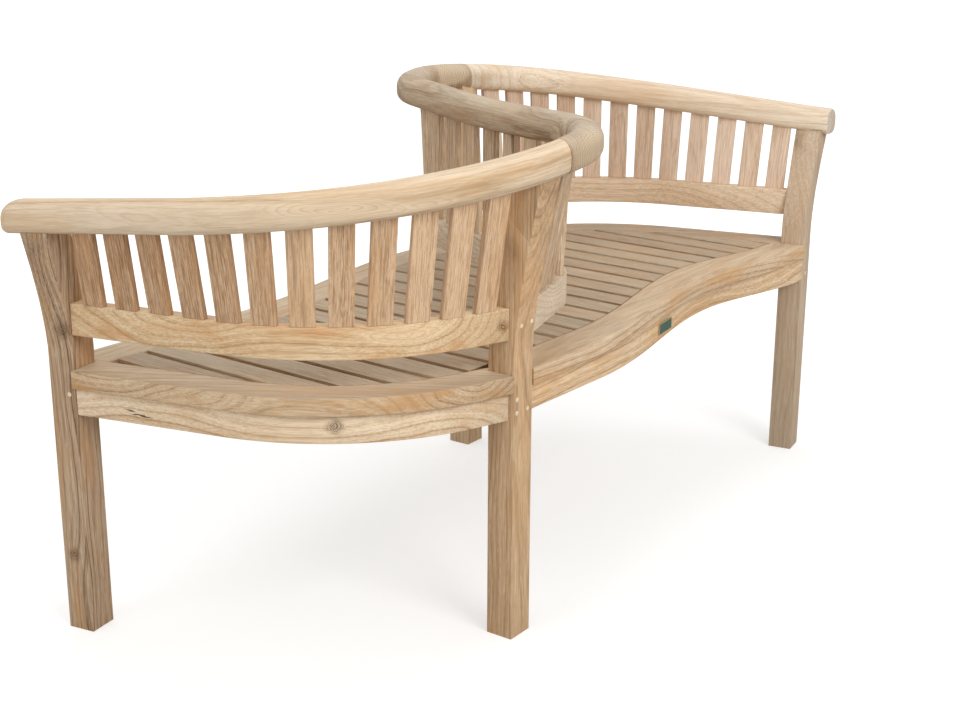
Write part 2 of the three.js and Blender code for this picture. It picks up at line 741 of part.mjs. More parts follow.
/** Some slats of the seat, joined by the two cleats that they are screwed to. */
function seatPanel(firstSlat, lastSlat, fromX, toX, border) {
  const insideApron = insideBow(bowEdge(BOW_INSET + APRON_THICKNESS + SEAT_GAP));
  const cleats = [-CLEAT_OFFSET, CLEAT_OFFSET].map((y) => {
    const low = new THREE.Vector3(fromX, y - CLEAT_WIDTH / 2, APRON_TOP - CLEAT_HEIGHT);
    const high = new THREE.Vector3(toX, y + CLEAT_WIDTH / 2, APRON_TOP);
    return block(low, high).intersect(insideApron).intersect(opposite(insideApron));
  });
  return wasm.Manifold.union([seatSlats(firstSlat, lastSlat).intersect(border), ...cleats]);
}

/** The rail across the middle of the seat that carries the inner ends of the cleats. */
function crossRail() {
  const top = APRON_TOP - CLEAT_HEIGHT - SEAT_GAP;
  const fromX = CLEAT_JOINT_X - CROSS_RAIL_WIDTH / 2;
  const low = new THREE.Vector3(fromX, -BEYOND, top - CROSS_RAIL_HEIGHT);
  const high = new THREE.Vector3(fromX + CROSS_RAIL_WIDTH, BEYOND, top);
  const inside = insideFront(frontEdge(APRON_OUTER, APRON_THICKNESS + SEAT_GAP));
  return block(low, high).intersect(inside).intersect(opposite(inside));
}

const bench = new THREE.Group();

/** Adds one named piece of wood to the bench. */
function addPiece(name, solid, color, roughness) {
  const material = new THREE.MeshStandardMaterial({ color, roughness, metalness: 0 });
  const mesh = new THREE.Mesh(toGeometry(solid), material);
  mesh.name = name;
  bench.add(mesh);
}

/** Adds a piece of the left side and its twin on the right side. */
function addPair(leftName, rightName, solid, color, roughness) {
  addPiece(leftName, solid, color, roughness);
  addPiece(rightName, opposite(solid), color, roughness);
}

/** A name that ends in a two-digit number counted from one. */
function numbered(name, index) {
  return `${name}_${String(index + 1).padStart(2, "0")}`;
}

const room = railRoom();
const border = insideBorder();

addPiece("post_left_end", postSolid(LEFT_END_POST, room), TEAK_POST, SANDED);
addPiece("post_left_corner", postSolid(LEFT_CORNER_POST, room), TEAK_POST, SANDED);
addPiece("post_right_end", postSolid(RIGHT_END_POST, room), TEAK_POST, SANDED);
addPiece("post_right_corner", postSolid(RIGHT_CORNER_POST, room), TEAK_POST, SANDED);

for (const piece of railPieces) {
  addPiece(piece.name, railSolid(piece, 0), TEAK_RAIL, SANDED);
}

addPair("border_back_left", "border_back_right", bowBoard(), TEAK_BOARD, SANDED);
addPair("border_front_right", "border_front_left", frontBoard(), TEAK_BOARD, SANDED);
addPair("apron_back_left", "apron_back_right", bowApron(), TEAK_APRON, SANDED);
addPair("apron_front_right", "apron_front_left", frontApron(), TEAK_APRON, SANDED);
addPair("back_rail_left", "back_rail_right", bowBackRail(), TEAK_APRON, SANDED);
addPiece("back_rail_middle", middleBackRail(), TEAK_APRON, SANDED);

const leftLastFoot = bowPath.length - LEFT_LAST_FOOT_INSET;
const leftFirstHead = railLeftPath.length - LEFT_FIRST_HEAD_INSET;
for (let i = 0; i < BOW_SLATS; i += 1) {
  const share = i / (BOW_SLATS - 1);
  const foot = bowFoot(THREE.MathUtils.lerp(LEFT_FIRST_FOOT, leftLastFoot, share));
  const head = -THREE.MathUtils.lerp(leftFirstHead, LEFT_LAST_HEAD, share);
  addPiece(numbered("back_slat_left", i), slatSolid(foot, head, 0, room), TEAK_SLAT, SAWN);
}
const rightLastFoot = bowPath.length - RIGHT_LAST_FOOT_INSET;
const rightFirstHead = railRightPath.length - RIGHT_FIRST_HEAD_INSET;
for (let i = 0; i < BOW_SLATS; i += 1) {
  const share = i / (BOW_SLATS - 1);
  const twin = bowFoot(THREE.MathUtils.lerp(RIGHT_FIRST_FOOT, rightLastFoot, share));
  const foot = { x: -twin.x, y: -twin.y, heading: twin.heading };
  const head = THREE.MathUtils.lerp(rightFirstHead, RIGHT_LAST_HEAD, share);
  addPiece(numbered("back_slat_right", i), slatSolid(foot, head, 0, room), TEAK_SLAT, SAWN);
}
for (let i = 0; i < MIDDLE_SLATS; i += 1) {
  const share = i / (MIDDLE_SLATS - 1);
  addPiece(numbered("back_slat_middle", i), middleSlat(share, room), TEAK_SLAT, SAWN);
}

const leftPanel = seatPanel(-SEAT_SLATS_EACH_SIDE, -1, -BEYOND, CLEAT_JOINT_X - SEAT_GAP, border);
const rightPanel = seatPanel(0, SEAT_SLATS_EACH_SIDE, CLEAT_JOINT_X, BEYOND, border);
addPiece("seat_panel_left", leftPanel, TEAK_SEAT, SAWN);
addPiece("seat_panel_right", rightPanel, TEAK_SEAT, SAWN);
addPiece("seat_cross_rail", crossRail(), TEAK_UNDERSIDE, SAWN);

const outline = new THREE.Box3().setFromObject(bench, true);
const middle = outline.getCenter(new THREE.Vector3());
bench.position.set(-middle.x, -middle.y, -outline.min.z);

export default bench;
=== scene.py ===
"""Looks of the curved garden bench: teak finishes, worked edges, rail, pegs, plate and studio."""

import logging
import math
import random
from collections.abc import Callable, Sequence
from dataclasses import dataclass, field
from enum import Enum

import bmesh
import bpy
import numpy as np
from bmesh.types import BMEdge, BMesh, BMVert
from mathutils import Matrix, Vector
from mathutils.bvhtree import BVHTree


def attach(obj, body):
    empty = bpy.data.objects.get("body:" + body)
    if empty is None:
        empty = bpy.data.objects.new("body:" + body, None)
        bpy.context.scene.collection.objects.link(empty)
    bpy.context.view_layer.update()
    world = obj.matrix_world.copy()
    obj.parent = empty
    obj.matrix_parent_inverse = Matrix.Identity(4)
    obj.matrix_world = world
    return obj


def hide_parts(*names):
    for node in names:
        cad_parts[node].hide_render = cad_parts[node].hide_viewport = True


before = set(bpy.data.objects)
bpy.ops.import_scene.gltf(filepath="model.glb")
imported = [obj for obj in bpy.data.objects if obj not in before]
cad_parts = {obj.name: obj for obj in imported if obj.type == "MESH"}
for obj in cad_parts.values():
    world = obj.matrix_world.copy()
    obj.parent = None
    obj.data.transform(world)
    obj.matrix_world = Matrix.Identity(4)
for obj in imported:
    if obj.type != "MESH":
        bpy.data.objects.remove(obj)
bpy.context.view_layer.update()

LOG = logging.getLogger("bench")
ROOT_BODY = "root"
MM = 0.001
# The middle of the S in the part's frame. Places given in millimetres count from it.
S_MIDDLE_MM = (-14.633, 19.188)

Tree = bpy.types.NodeTree
Socket = bpy.types.NodeSocket
Mesh = bpy.types.Mesh
Pair = tuple[float, float]
Triple = tuple[float, float, float]

# Curves as pairs of place and height. Late wood starts softly and ends hard against the next
# year's early wood. The other curves cut streaks, pores, dashes and stains out of a cloud.
RING_STOPS = ((0.0, 1.0), (0.07, 0.3), (0.5, 0.06), (0.84, 0.42), (1.0, 1.0))
FINE_RING_STOPS = ((0.0, 0.9), (0.16, 0.2), (0.7, 0.1), (1.0, 0.9))
OVAL_STOPS = ((0.0, 0.2), (0.5, 0.35), (0.88, 1.0), (1.0, 0.2))
STREAK_STOPS = ((0.4, 0.0), (0.62, 1.0))
PORE_STOPS = ((0.54, 0.0), (0.62, 1.0))
DASH_STOPS = ((0.55, 0.0), (0.68, 1.0))
STAIN_STOPS = ((0.48, 0.0), (0.7, 1.0))


def in_frame(x_mm: float, y_mm: float, z_mm: float) -> Vector:
    """The point of the part's frame, in metres, at a place counted from the middle of the S."""
    return Vector((x_mm + S_MIDDLE_MM[0], y_mm + S_MIDDLE_MM[1], z_mm)) * MM


def linear(hex_colour: str) -> tuple[float, float, float, float]:
    """Turns an sRGB hex colour into linear light.

    Args:
        hex_colour: Six hex digits, such as "d8b98c".

    Returns:
        Red, green, blue and alpha for a shader socket.
    """
    channels = [int(hex_colour[i:i + 2], 16) / 255 for i in (0, 2, 4)]
    lit = [c / 12.92 if c <= 0.04045 else ((c + 0.055) / 1.055) ** 2.4 for c in channels]
    return (*lit, 1.0)


def add_node(
    tree: Tree, kind: str, *values: object, out: int | str = 0, **given: object
) -> Socket | None:
    """Adds one node to a tree, with its settings and its links.

    Args:
        tree: The node tree.
        kind: The node's type after "ShaderNode", such as "Math".
        *values: A value or a socket for each of the first inputs.
        out: The place or the name of the output that is wanted.
        **given: Other inputs by their labels with underscores for spaces, or i6 and so on by
            their places; the node's own settings in small letters; and a ramp's stops.

    Returns:
        The wanted output, or None for a node that has no output.
    """
    node = tree.nodes.new(f"ShaderNode{kind}")
    inputs = dict(enumerate(values))
    for name, value in given.items():
        if name == "stops":
            shape_ramp(node.color_ramp, value)
        elif name[0] == "i" and name[1:].isdigit():
            inputs[int(name[1:])] = value
        elif name[0].isupper():
            inputs[name.replace("_", " ")] = value
        else:
            setattr(node, name, value)
    for place, value in inputs.items():
        if isinstance(value, Socket):
            tree.links.new(value, node.inputs[place])
        else:
            node.inputs[place].default_value = value
    return node.outputs[out] if node.outputs else None


def shape_ramp(ramp: bpy.types.ColorRamp, stops: Sequence[Pair]) -> None:
    """Gives a ramp a smooth curve.

    Args:
        ramp: The ramp.
        stops: The curve's places and heights.
    """
    ramp.interpolation = "EASE"
    while len(ramp.elements) < len(stops):
        ramp.elements.new(0.5)
    for element, (place, height) in zip(ramp.elements, stops):
        element.position = place
        element.color = (height, height, height, 1.0)


def empty_tree(owner: bpy.types.Material | bpy.types.World) -> Tree:
    """Switches on the nodes of a material or a world.

    Args:
        owner: The material or the world.

    Returns:
        Its node tree, cleared.
    """
    owner.use_nodes = True
    owner.node_tree.nodes.clear()
    return owner.node_tree


def weighted(tree: Tree, base: float, *terms: tuple[Socket, float]) -> Socket:
    """Adds up sockets, each times its weight.

    Args:
        tree: The node tree.
        base: What the sum starts from.
        *terms: Each socket and its weight.

    Returns:
        The sum.
    """
    total = base
    for socket, weight in terms:
        total = add_node(tree, "Math", socket, weight, total, operation="MULTIPLY_ADD")
    return total


def cloud(tree: Tree, place: Socket, size_mm: Pair, **settings: object) -> Socket:
    """Adds a cloudy pattern whose patches have a real size.

    Args:
        tree: The node tree.
        place: The position that the pattern follows, in metres.
        size_mm: The patches' size along the position's first axis and across it.
        **settings: The pattern's own settings, and the output that is wanted.

    Returns:
        The pattern.
    """
    along, across = (1 / (size * MM) for size in size_mm)
    scaled = add_node(tree, "VectorMath", place, (along, across, across), operation="MULTIPLY")
    return add_node(tree, "TexNoise", scaled, Scale=1.0, **settings)


def shaken(tree: Tree, place: Socket, size_mm: Pair, push_mm: Triple, **settings: object) -> Socket:
    """Pushes a position to and fro, so that what is drawn with it runs unevenly.

    Args:
        tree: The node tree.
        place: The position, in metres.
        size_mm: The size of the patches that are pushed together, along and across.
        push_mm: How far each axis is pushed.
        **settings: The settings of the cloud that pushes.

    Returns:
        The pushed position.
    """
    noise = cloud(tree, place, size_mm, out="Color", **settings)
    centred = add_node(tree, "VectorMath", noise, (0.5, 0.5, 0.5), operation="SUBTRACT")
    push = tuple(size * MM for size in push_mm)
    return add_node(tree, "VectorMath", centred, push, place, operation="MULTIPLY_ADD")


@dataclass(frozen=True)
class Mark:
    """What a single board shows at one place, in millimetres from the middle of the S."""

    x: float
    y: float
    z: float

    def span(
        self, tree: Tree, half_mm: Triple, patch_mm: float, push_mm: float, turn: float = 0.0
    ) -> Socket:
        """Measures how far a position is from the mark's middle.

        Args:
            tree: The material's nodes.
            half_mm: The mark's half sizes.
            patch_mm: The size of the waves in its outline.
            push_mm: The height of those waves.
            turn: The heading of its first axis, in degrees.

        Returns:
            0 in the middle, and 1 at the half sizes.
        """
        place = add_node(tree, "TexCoord", out="Object")
        place = shaken(tree, place, (patch_mm, patch_mm), (push_mm, push_mm, push_mm), Detail=3.0)
        middle = tuple(in_frame(self.x, self.y, self.z))
        rest = add_node(tree, "VectorMath", place, middle, operation="SUBTRACT")
        turned = add_node(
            tree, "VectorRotate", rest, Angle=-math.radians(turn), rotation_type="Z_AXIS"
        )
        scale = tuple(1 / (half * MM) for half in half_mm)
        shares = add_node(tree, "VectorMath", turned, scale, operation="MULTIPLY")
        return add_node(tree, "VectorMath", shares, operation="LENGTH", out="Value")


@dataclass(frozen=True)
class Oval(Mark):
    """Nested ovals where the saw grazed the rings. They run out into the wood."""

    heading_degrees: float
    half_mm: Triple
    rings: float
    strength: float
    patch_mm: float = 71.43
    push_mm: float = 20.0
    fade: Pair = (0.7, 1.1)

    def draw(self, tree: Tree, colour: Socket, pale: str, tan: str) -> Socket:
        """Lays the ovals over a board.

        Args:
            tree: The material's nodes.
            colour: The board's colour.
            pale: The colour of its early wood.
            tan: The colour of its late wood.

        Returns:
            The colour with the ovals.
        """
        span = self.span(tree, self.half_mm, self.patch_mm, self.push_mm, self.heading_degrees)
        rings = add_node(tree, "Math", span, self.rings, operation="MULTIPLY")
        steps = add_node(tree, "Math", rings, operation="FRACT")
        line = add_node(tree, "ValToRGB", steps, stops=OVAL_STOPS)
        wood = add_node(tree, "Mix", line, data_type="RGBA", i6=linear(pale), i7=linear(tan), out=2)
        share = add_node(
            tree, "MapRange", span, *self.fade, self.strength, 0.0, interpolation_type="SMOOTHSTEP"
        )
        return add_node(tree, "Mix", share, data_type="RGBA", i6=colour, i7=wood, out=2)


@dataclass(frozen=True)
class Knot(Mark):
    """A knot: a dark core with rings round it that fade into the wood."""

    radius_mm: float
    ring_mm: float = 3.307
    dark: str = "5a3d25"
    patch_mm: float = 14.29
    push_mm: float = 12.0
    fade: Pair = (0.2, 1.0)
    core_share: float = 0.3
    ring_share: float = 0.55

    def draw(self, tree: Tree, colour: Socket, pale: str, tan: str) -> Socket:
        """Lays the knot over a board.

        Args:
            tree: The material's nodes.
            colour: The board's colour.
            pale: The colour of its early wood, which a knot doesn't take up.
            tan: The colour of its late wood, which a knot doesn't take up.

        Returns:
            The colour with the knot.
        """
        half = (self.radius_mm, self.radius_mm, self.radius_mm)
        span = self.span(tree, half, self.patch_mm, self.push_mm)
        lines = math.tau * self.radius_mm / self.ring_mm
        turns = add_node(tree, "Math", span, lines, operation="MULTIPLY")
        wave = add_node(tree, "Math", turns, operation="SINE")
        ring = weighted(tree, self.core_share + self.ring_share / 2, (wave, self.ring_share / 2))
        near = add_node(
            tree, "MapRange", span, *self.fade, 1.0, 0.0, interpolation_type="SMOOTHSTEP"
        )
        share = add_node(tree, "Math", near, ring, operation="MULTIPLY")
        dark = linear(self.dark)
        return add_node(tree, "Mix", share, data_type="RGBA", i6=colour, i7=dark, out=2)


@dataclass(frozen=True)
class Crack(Mark):
    """A level crack: a thin dark line that wanders and ends in points."""

    length_mm: float
    width_mm: float
    dark: str = "45301f"
    patch_mm: float = 14.29
    push_mm: float = 12.0
    fade: Pair = (0.5, 1.0)
    strength: float = 0.9

    def draw(self, tree: Tree, colour: Socket, pale: str, tan: str) -> Socket:
        """Lays the crack over a board.

        Args:
            tree: The material's nodes.
            colour: The board's colour.
            pale: The colour of its early wood, which a crack doesn't take up.
            tan: The colour of its late wood, which a crack doesn't take up.

        Returns:
            The colour with the crack.
        """
        half = (self.length_mm / 2, self.length_mm / 2, self.width_mm)
        span = self.span(tree, half, self.patch_mm, self.push_mm)
        share = add_node(
            tree, "MapRange", span, *self.fade, self.strength, 0.0, interpolation_type="SMOOTHSTEP"
        )
        dark = linear(self.dark)
        return add_node(tree, "Mix", share, data_type="RGBA", i6=colour, i7=dark, out=2)


@dataclass(frozen=True)
class TeakFinish:
    """Dry, untreated plantation teak. Its colour runs from cream to tan, with browner late wood.

    The pairs of sizes are along and across the grain, and those of streaks, pores and dashes are
    counted in fibres' widths. Fibres are about a tenth as wide in real teak, too fine for the
    picture, so they are drawn as coarse as it takes for them to show.
    """

    name: str
    pale: str
    tan: str
    brown: str
    ring_mm: float = 7.0
    ring_strength: float = 0.55
    sway_mm: float = 55.0
    sway_patch_mm: Pair = (416.7, 111.1)
    fine_rings: float = 2.37
    fine_ring_share: float = 0.3
    good_years: float = 0.31
    good_year_range: Pair = (-0.45, 2.4)
    fibre_mm: float = 2.6
    streak_fibres: Pair = (28.571, 1.0)
    pore_fibres: Pair = (7.143, 0.41667)
    dash_fibres: Pair = (14.6, 0.73)
    fibre_strength: float = 0.4
    fibre_mean: float = 0.35
    pore_strength: float = 0.8
    fleck: str = "f1e6d2"
    fleck_strength: float = 0.25
    warm: str = "c9935a"
    warm_strength: float = 0.3
    warm_patch_mm: Pair = (281.7, 46.95)
    patch_strength: float = 0.5
    patch_mm: Pair = (333.3, 45.45)
    tan_share: float = 0.45
    brown_share: float = 0.8
    tone_strength: Pair = (0.35, 0.18)
    grey: str = "a99c8a"
    grey_strength: float = 0.12
    grey_patch_mm: float = 71.43
    end_tint: str = "8f7658"
    end_strength: float = 0.5
    end_facing: Pair = (0.45, 0.95)
    roughness: float = 0.62
    fibre_roughness: float = 0.14
    bump_mm: float = 0.25
    bump_strength: float = 0.5
    fibre_relief: float = 0.6
    ior: float = 1.45
    specular_level: float = 0.28
    marks: tuple[Mark, ...] = ()

    def build(self) -> bpy.types.Material:
        """Builds the finish from each piece's own grain attributes.

        Returns:
            The material.
        """
        material = bpy.data.materials.new(self.name)
        tree = empty_tree(material)
        grain = add_node(tree, "Attribute", attribute_name="grain", out="Vector")
        rings = self._rings(tree, grain)
        fibre = self._fibre(tree, grain)
        colour = self._wood(tree, grain, rings, fibre)
        colour = self._streaks(tree, colour, grain)
        colour = self._end_grain(tree, colour)
        colour = self._weather(tree, colour)
        for mark in self.marks:
            colour = mark.draw(tree, colour, self.pale, self.tan)
        relief = weighted(tree, 0.0, (rings, 1 - self.fibre_relief), (fibre, self.fibre_relief))
        bump = add_node(
            tree, "Bump", invert=True, Height=relief,
            Strength=self.bump_strength, Distance=self.bump_mm * MM,
        )
        least_rough = self.roughness - self.fibre_roughness / 2
        rough = weighted(tree, least_rough, (fibre, self.fibre_roughness))
        shader = add_node(
            tree, "BsdfPrincipled", Base_Color=colour, Roughness=rough, Normal=bump,
            IOR=self.ior, Specular_IOR_Level=self.specular_level,
        )
        add_node(tree, "OutputMaterial", shader)
        return material

    def _rings(self, tree: Tree, grain: Socket) -> Socket:
        """Draws growth rings as shells round the pith, bent a little, with lean and fat years.

        Args:
            tree: The material's nodes.
            grain: The place in the log.

        Returns:
            From 0 in early wood to 1 in late wood.
        """
        push = (0.0, self.sway_mm, self.sway_mm)
        swayed = shaken(tree, grain, self.sway_patch_mm, push, Detail=2.5, Roughness=0.45)
        across = add_node(tree, "VectorMath", swayed, (0.0, 1.0, 1.0), operation="MULTIPLY")
        radius = add_node(tree, "VectorMath", across, operation="LENGTH", out="Value")
        years = add_node(tree, "Math", radius, 1 / (self.ring_mm * MM), operation="MULTIPLY")
        finer = add_node(tree, "Math", years, self.fine_rings, operation="MULTIPLY")
        wide = add_node(tree, "Math", years, operation="FRACT")
        narrow = add_node(tree, "Math", finer, operation="FRACT")
        lines = weighted(
            tree, 0.0,
            (add_node(tree, "ValToRGB", wide, stops=RING_STOPS), 1 - self.fine_ring_share),
            (add_node(tree, "ValToRGB", narrow, stops=FINE_RING_STOPS), self.fine_ring_share),
        )
        good = add_node(
            tree, "TexNoise", W=years, Scale=self.good_years, Detail=1.0, noise_dimensions="1D"
        )
        least, rise = self.good_year_range
        strength = weighted(tree, least, (good, rise))
        return add_node(tree, "Math", lines, strength, operation="MULTIPLY")

    def _in_fibres(self, size: Pair) -> Pair:
        """A size along and across the grain, in millimetres, from one counted in fibres' widths."""
        return size[0] * self.fibre_mm, size[1] * self.fibre_mm

    def _fibre(self, tree: Tree, grain: Socket) -> Socket:
        """Draws fibres as long streaks, and open pores as shorter and finer ones.

        Args:
            tree: The material's nodes.
            grain: The place in the log.

        Returns:
            From 0 between the fibres to 1 on them.
        """
        streak = cloud(tree, grain, self._in_fibres(self.streak_fibres), Detail=3.0, Roughness=0.6)
        pore = cloud(tree, grain, self._in_fibres(self.pore_fibres), Detail=1.0)
        streaks = add_node(tree, "ValToRGB", streak, stops=STREAK_STOPS)
        pores = add_node(tree, "ValToRGB", pore, stops=PORE_STOPS)
        pores = weighted(tree, 0.0, (pores, self.pore_strength))
        return add_node(tree, "Math", streaks, pores, operation="MAXIMUM")

    def _wood(self, tree: Tree, grain: Socket, rings: Socket, fibre: Socket) -> Socket:
        """Mixes cream, tan and brown by the rings, the fibres, slow patches and the board's tone.

        Args:
            tree: The material's nodes.
            grain: The place in the log.
            rings: The growth rings.
            fibre: The fibres.

        Returns:
            The colour of sound wood.
        """
        tone = add_node(tree, "Attribute", attribute_name="tone", out="Fac")
        patch = cloud(tree, grain, self.patch_mm)
        in_tan, in_brown = self.tone_strength
        late = weighted(
            tree, self.tan_share - self.patch_strength,
            (patch, 2 * self.patch_strength), (tone, in_tan), (rings, self.ring_strength),
        )
        dark = weighted(
            tree, -self.fibre_mean * self.fibre_strength,
            (tone, in_brown), (rings, self.ring_strength), (fibre, self.fibre_strength),
        )
        share = add_node(tree, "Math", dark, self.brown_share, operation="MULTIPLY")
        body = add_node(
            tree, "Mix", late, data_type="RGBA", i6=linear(self.pale), i7=linear(self.tan), out=2
        )
        return add_node(tree, "Mix", share, data_type="RGBA", i6=body, i7=linear(self.brown), out=2)

    def _streaks(self, tree: Tree, colour: Socket, grain: Socket) -> Socket:
        """Adds pale dashes, as dry pores hold white silica, and long warm stains of the wood's oil.

        Args:
            tree: The material's nodes.
            colour: The colour of sound wood.
            grain: The place in the log.

        Returns:
            The streaked colour.
        """
        dash = cloud(tree, grain, self._in_fibres(self.dash_fibres), Detail=2.0, Roughness=0.6)
        stain = cloud(tree, grain, self.warm_patch_mm, Detail=3.0, Roughness=0.6)
        for pattern, stops, strength, over in (
            (dash, DASH_STOPS, self.fleck_strength, self.fleck),
            (stain, STAIN_STOPS, self.warm_strength, self.warm),
        ):
            curve = add_node(tree, "ValToRGB", pattern, stops=stops)
            share = weighted(tree, 0.0, (curve, strength))
            tint = linear(over)
            colour = add_node(tree, "Mix", share, data_type="RGBA", i6=colour, i7=tint, out=2)
        return colour

    def _end_grain(self, tree: Tree, colour: Socket) -> Socket:
        """Darkens the wood where the surface cuts across its fibres, as open ends drink in dirt.

        Args:
            tree: The material's nodes.
            colour: The wood's colour.

        Returns:
            The colour with darker ends.
        """
        along = add_node(tree, "Attribute", attribute_name="along", out="Vector")
        normal = add_node(tree, "NewGeometry", out="Normal")
        facing = add_node(tree, "VectorMath", normal, along, operation="DOT_PRODUCT", out="Value")
        facing = add_node(tree, "Math", facing, operation="ABSOLUTE")
        share = add_node(
            tree, "MapRange", facing, *self.end_facing, 0.0, self.end_strength,
            interpolation_type="SMOOTHSTEP",
        )
        tint = linear(self.end_tint)
        return add_node(
            tree, "Mix", share, data_type="RGBA", blend_type="MULTIPLY", i6=colour, i7=tint, out=2
        )

    def _weather(self, tree: Tree, colour: Socket) -> Socket:
        """Greys the faces that look up, which the sun and rain reach first.

        Args:
            tree: The material's nodes.
            colour: The wood's colour.

        Returns:
            The weathered colour.
        """
        up = add_node(tree, "SeparateXYZ", add_node(tree, "NewGeometry", out="Normal"), out="Z")
        place = add_node(tree, "TexCoord", out="Object")
        patch = cloud(tree, place, (self.grey_patch_mm, self.grey_patch_mm), Detail=3.0)
        reached = add_node(tree, "Math", up, patch, operation="MULTIPLY")
        share = add_node(tree, "Math", reached, 2 * self.grey_strength, operation="MULTIPLY")
        grey = linear(self.grey)
        return add_node(tree, "Mix", share, data_type="RGBA", i6=colour, i7=grey, out=2)


class Finish(Enum):
    """The finishes of the bench's own woods, one for each kind of board."""

    # Teak, shaped round and sanded smooth: calm and pale, with wide soft rings and flat ovals.
    RAIL_NEAR = TeakFinish(
        "teak_sanded_pale_rail", "ead8bf", "cdb18d", "96744f", ring_mm=15.0, ring_strength=0.5,
        sway_mm=35.0, end_tint="c9b294", end_strength=0.25, grey_strength=0.06, warm="d3a878",
        marks=(
            Oval(-650, -245, 748, -46.0, (120, 60, 17), 6.5, 0.55),
            Oval(-560, -318, 752, -33.0, (60, 60, 10), 2.5, 0.4),
            Oval(-751, 30, 722, -82.0, (110, 60, 17), 3.5, 0.35),
        ),
    )
    # Teak from nearer the pith, sanded: greyer and browner, with close rings and round figure.
    RAIL_MIDDLE = TeakFinish(
        "teak_sanded_brown_rail", "d9c6aa", "b39a7c", "75593e", ring_mm=7.5, ring_strength=0.9,
        sway_mm=30.0, grey="bdb19f", grey_strength=0.4, end_tint="ccbca8", warm_strength=0.15,
        marks=(
            Oval(276, 300, 796, 4.0, (64, 45, 27), 7.5, 0.8),
            Oval(-202, -368, 778, 20.0, (95, 60, 36), 12.5, 0.6),
        ),
    )
    # Sapwood teak, sanded: the palest piece, with hardly any rings and a cool white sawn end.
    RAIL_FAR = TeakFinish(
        "teak_sanded_cream_rail", "f3e4cf", "dbc3a5", "a98865", ring_mm=14.0, ring_strength=0.45,
        sway_mm=35.0, end_tint="e6ecf4", end_strength=1.0,
    )
    # Heart teak, band-sawn: brown with strong dark rings that sway round two knots.
    POST = TeakFinish(
        "teak_sawn_post", "d6bd9f", "b39272", "60432a", ring_mm=10.0, ring_strength=0.95,
        sway_mm=75.0, warm_strength=0.4,
        marks=(Knot(-762, 237, 513, 22), Knot(-762, 250, 132, 18)),
    )
    # Heart teak, planed: an even warm brown with clear rings and two pin knots.
    POST_CORNER = TeakFinish(
        "teak_brown_post", "e9cba5", "cba67f", "80603f", ring_mm=9.0, ring_strength=0.75,
        sway_mm=60.0, marks=(Knot(-311, -349, 236, 7), Knot(-311, -349, 300, 5)),
    )
    # Teak, planed and left in the weather: grey-beige and quiet.
    POST_FAR = TeakFinish(
        "teak_grey_post", "d6c2aa", "bfa589", "957a5e", ring_mm=9.0, ring_strength=0.5,
        warm_strength=0.12,
    )
    # Teak, planed: a warm golden edge under a top that has started to grey.
    BOARD = TeakFinish(
        "teak_planed_board", "dfc8a6", "bf9b74", "7d5a3a", ring_mm=10.0, ring_strength=0.7,
        grey_strength=0.36, warm="c28f58", warm_strength=0.7,
    )
    # Teak, planed: cream with wide rings, one large knot and a ragged crack.
    APRON = TeakFinish(
        "teak_planed_apron", "f7e5ca", "d9b88e", "906c48", ring_mm=14.0, ring_strength=0.7,
        marks=(
            Knot(-603, -181, 402, 19), Knot(-400, -303, 396, 8),
            Crack(-724, 112, 391, 44, 2.2), Crack(-729, 130, 396, 24, 1.6),
        ),
    )
    # Teak, planed: cream with broad honey-coloured stains.
    APRON_FRONT = TeakFinish(
        "teak_planed_front_apron", "fff0d6", "e5c094", "94704a", ring_mm=16.0, ring_strength=0.6,
        warm="d59f63", warm_strength=0.55,
    )
    # Teak, planed: honey-coloured, a little greyed on top.
    BOARD_FRONT = TeakFinish(
        "teak_planed_front_board", "e9d3b3", "c9a680", "806040", ring_mm=11.0, ring_strength=0.6,
        grey_strength=0.3, warm="c9965c", warm_strength=0.55,
    )
    # Teak, planed: golden, with long flat ovals and one knot near the corner post.
    BACK_RAIL = TeakFinish(
        "teak_planed_back_rail", "f4deba", "dab78a", "8f6a43", ring_mm=12.0, ring_strength=0.6,
        warm="c58a50", warm_strength=0.6,
        marks=(Oval(-523, -252, 541, -35.0, (85, 30, 17), 4.5, 0.4), Knot(-372, -318, 530, 14)),
    )
    # Sapwood teak, planed: pale cream and even.
    BACK_RAIL_FAR = TeakFinish(
        "teak_pale_back_rail", "f7e5cc", "e2c7a7", "a5815e", ring_mm=12.0, ring_strength=0.5,
        warm_strength=0.2,
    )
    # Teak, planed and left in the weather: grey-cream, with pale open ends.
    BACK_RAIL_MIDDLE = TeakFinish(
        "teak_grey_back_rail", "eadcc6", "d0ba9d", "8d7253", ring_mm=8.0, ring_strength=0.6,
        warm_strength=0.2, end_tint="d8d0c0",
    )
    # Quarter-sawn teak, planed: straight fine fibres that stand out against tan.
    SLAT = TeakFinish(
        "teak_planed_slat", "eccba6", "c9a17b", "835f3f", ring_mm=6.0, ring_strength=0.4,
        fibre_mm=2.0, fibre_strength=0.9, fleck_strength=0.28,
    )
    # Quarter-sawn teak, planed: the same fibres on paler, pinker wood.
    SLAT_FAR = TeakFinish(
        "teak_pale_slat", "f0dbc6", "d0b296", "9c7b60", ring_mm=6.0, ring_strength=0.35,
        fibre_strength=0.6, fleck_strength=0.3, warm_strength=0.12,
    )
    # Quarter-sawn teak, left in the weather: duller, with more pale dashes.
    SLAT_MIDDLE = TeakFinish(
        "teak_grey_slat", "e2c8a8", "c0a17f", "7f6247", ring_mm=6.0, ring_strength=0.45,
        fibre_strength=0.8, fleck_strength=0.4, warm_strength=0.12,
    )
    # Teak, planed and weathered from above: the greyest wood, with clear fibres.
    SEAT = TeakFinish(
        "teak_weathered_seat", "cdb695", "ad8f6d", "70553b", ring_mm=8.0, ring_strength=0.5,
        grey_strength=0.45, fibre_strength=0.7, fleck_strength=0.2,
    )
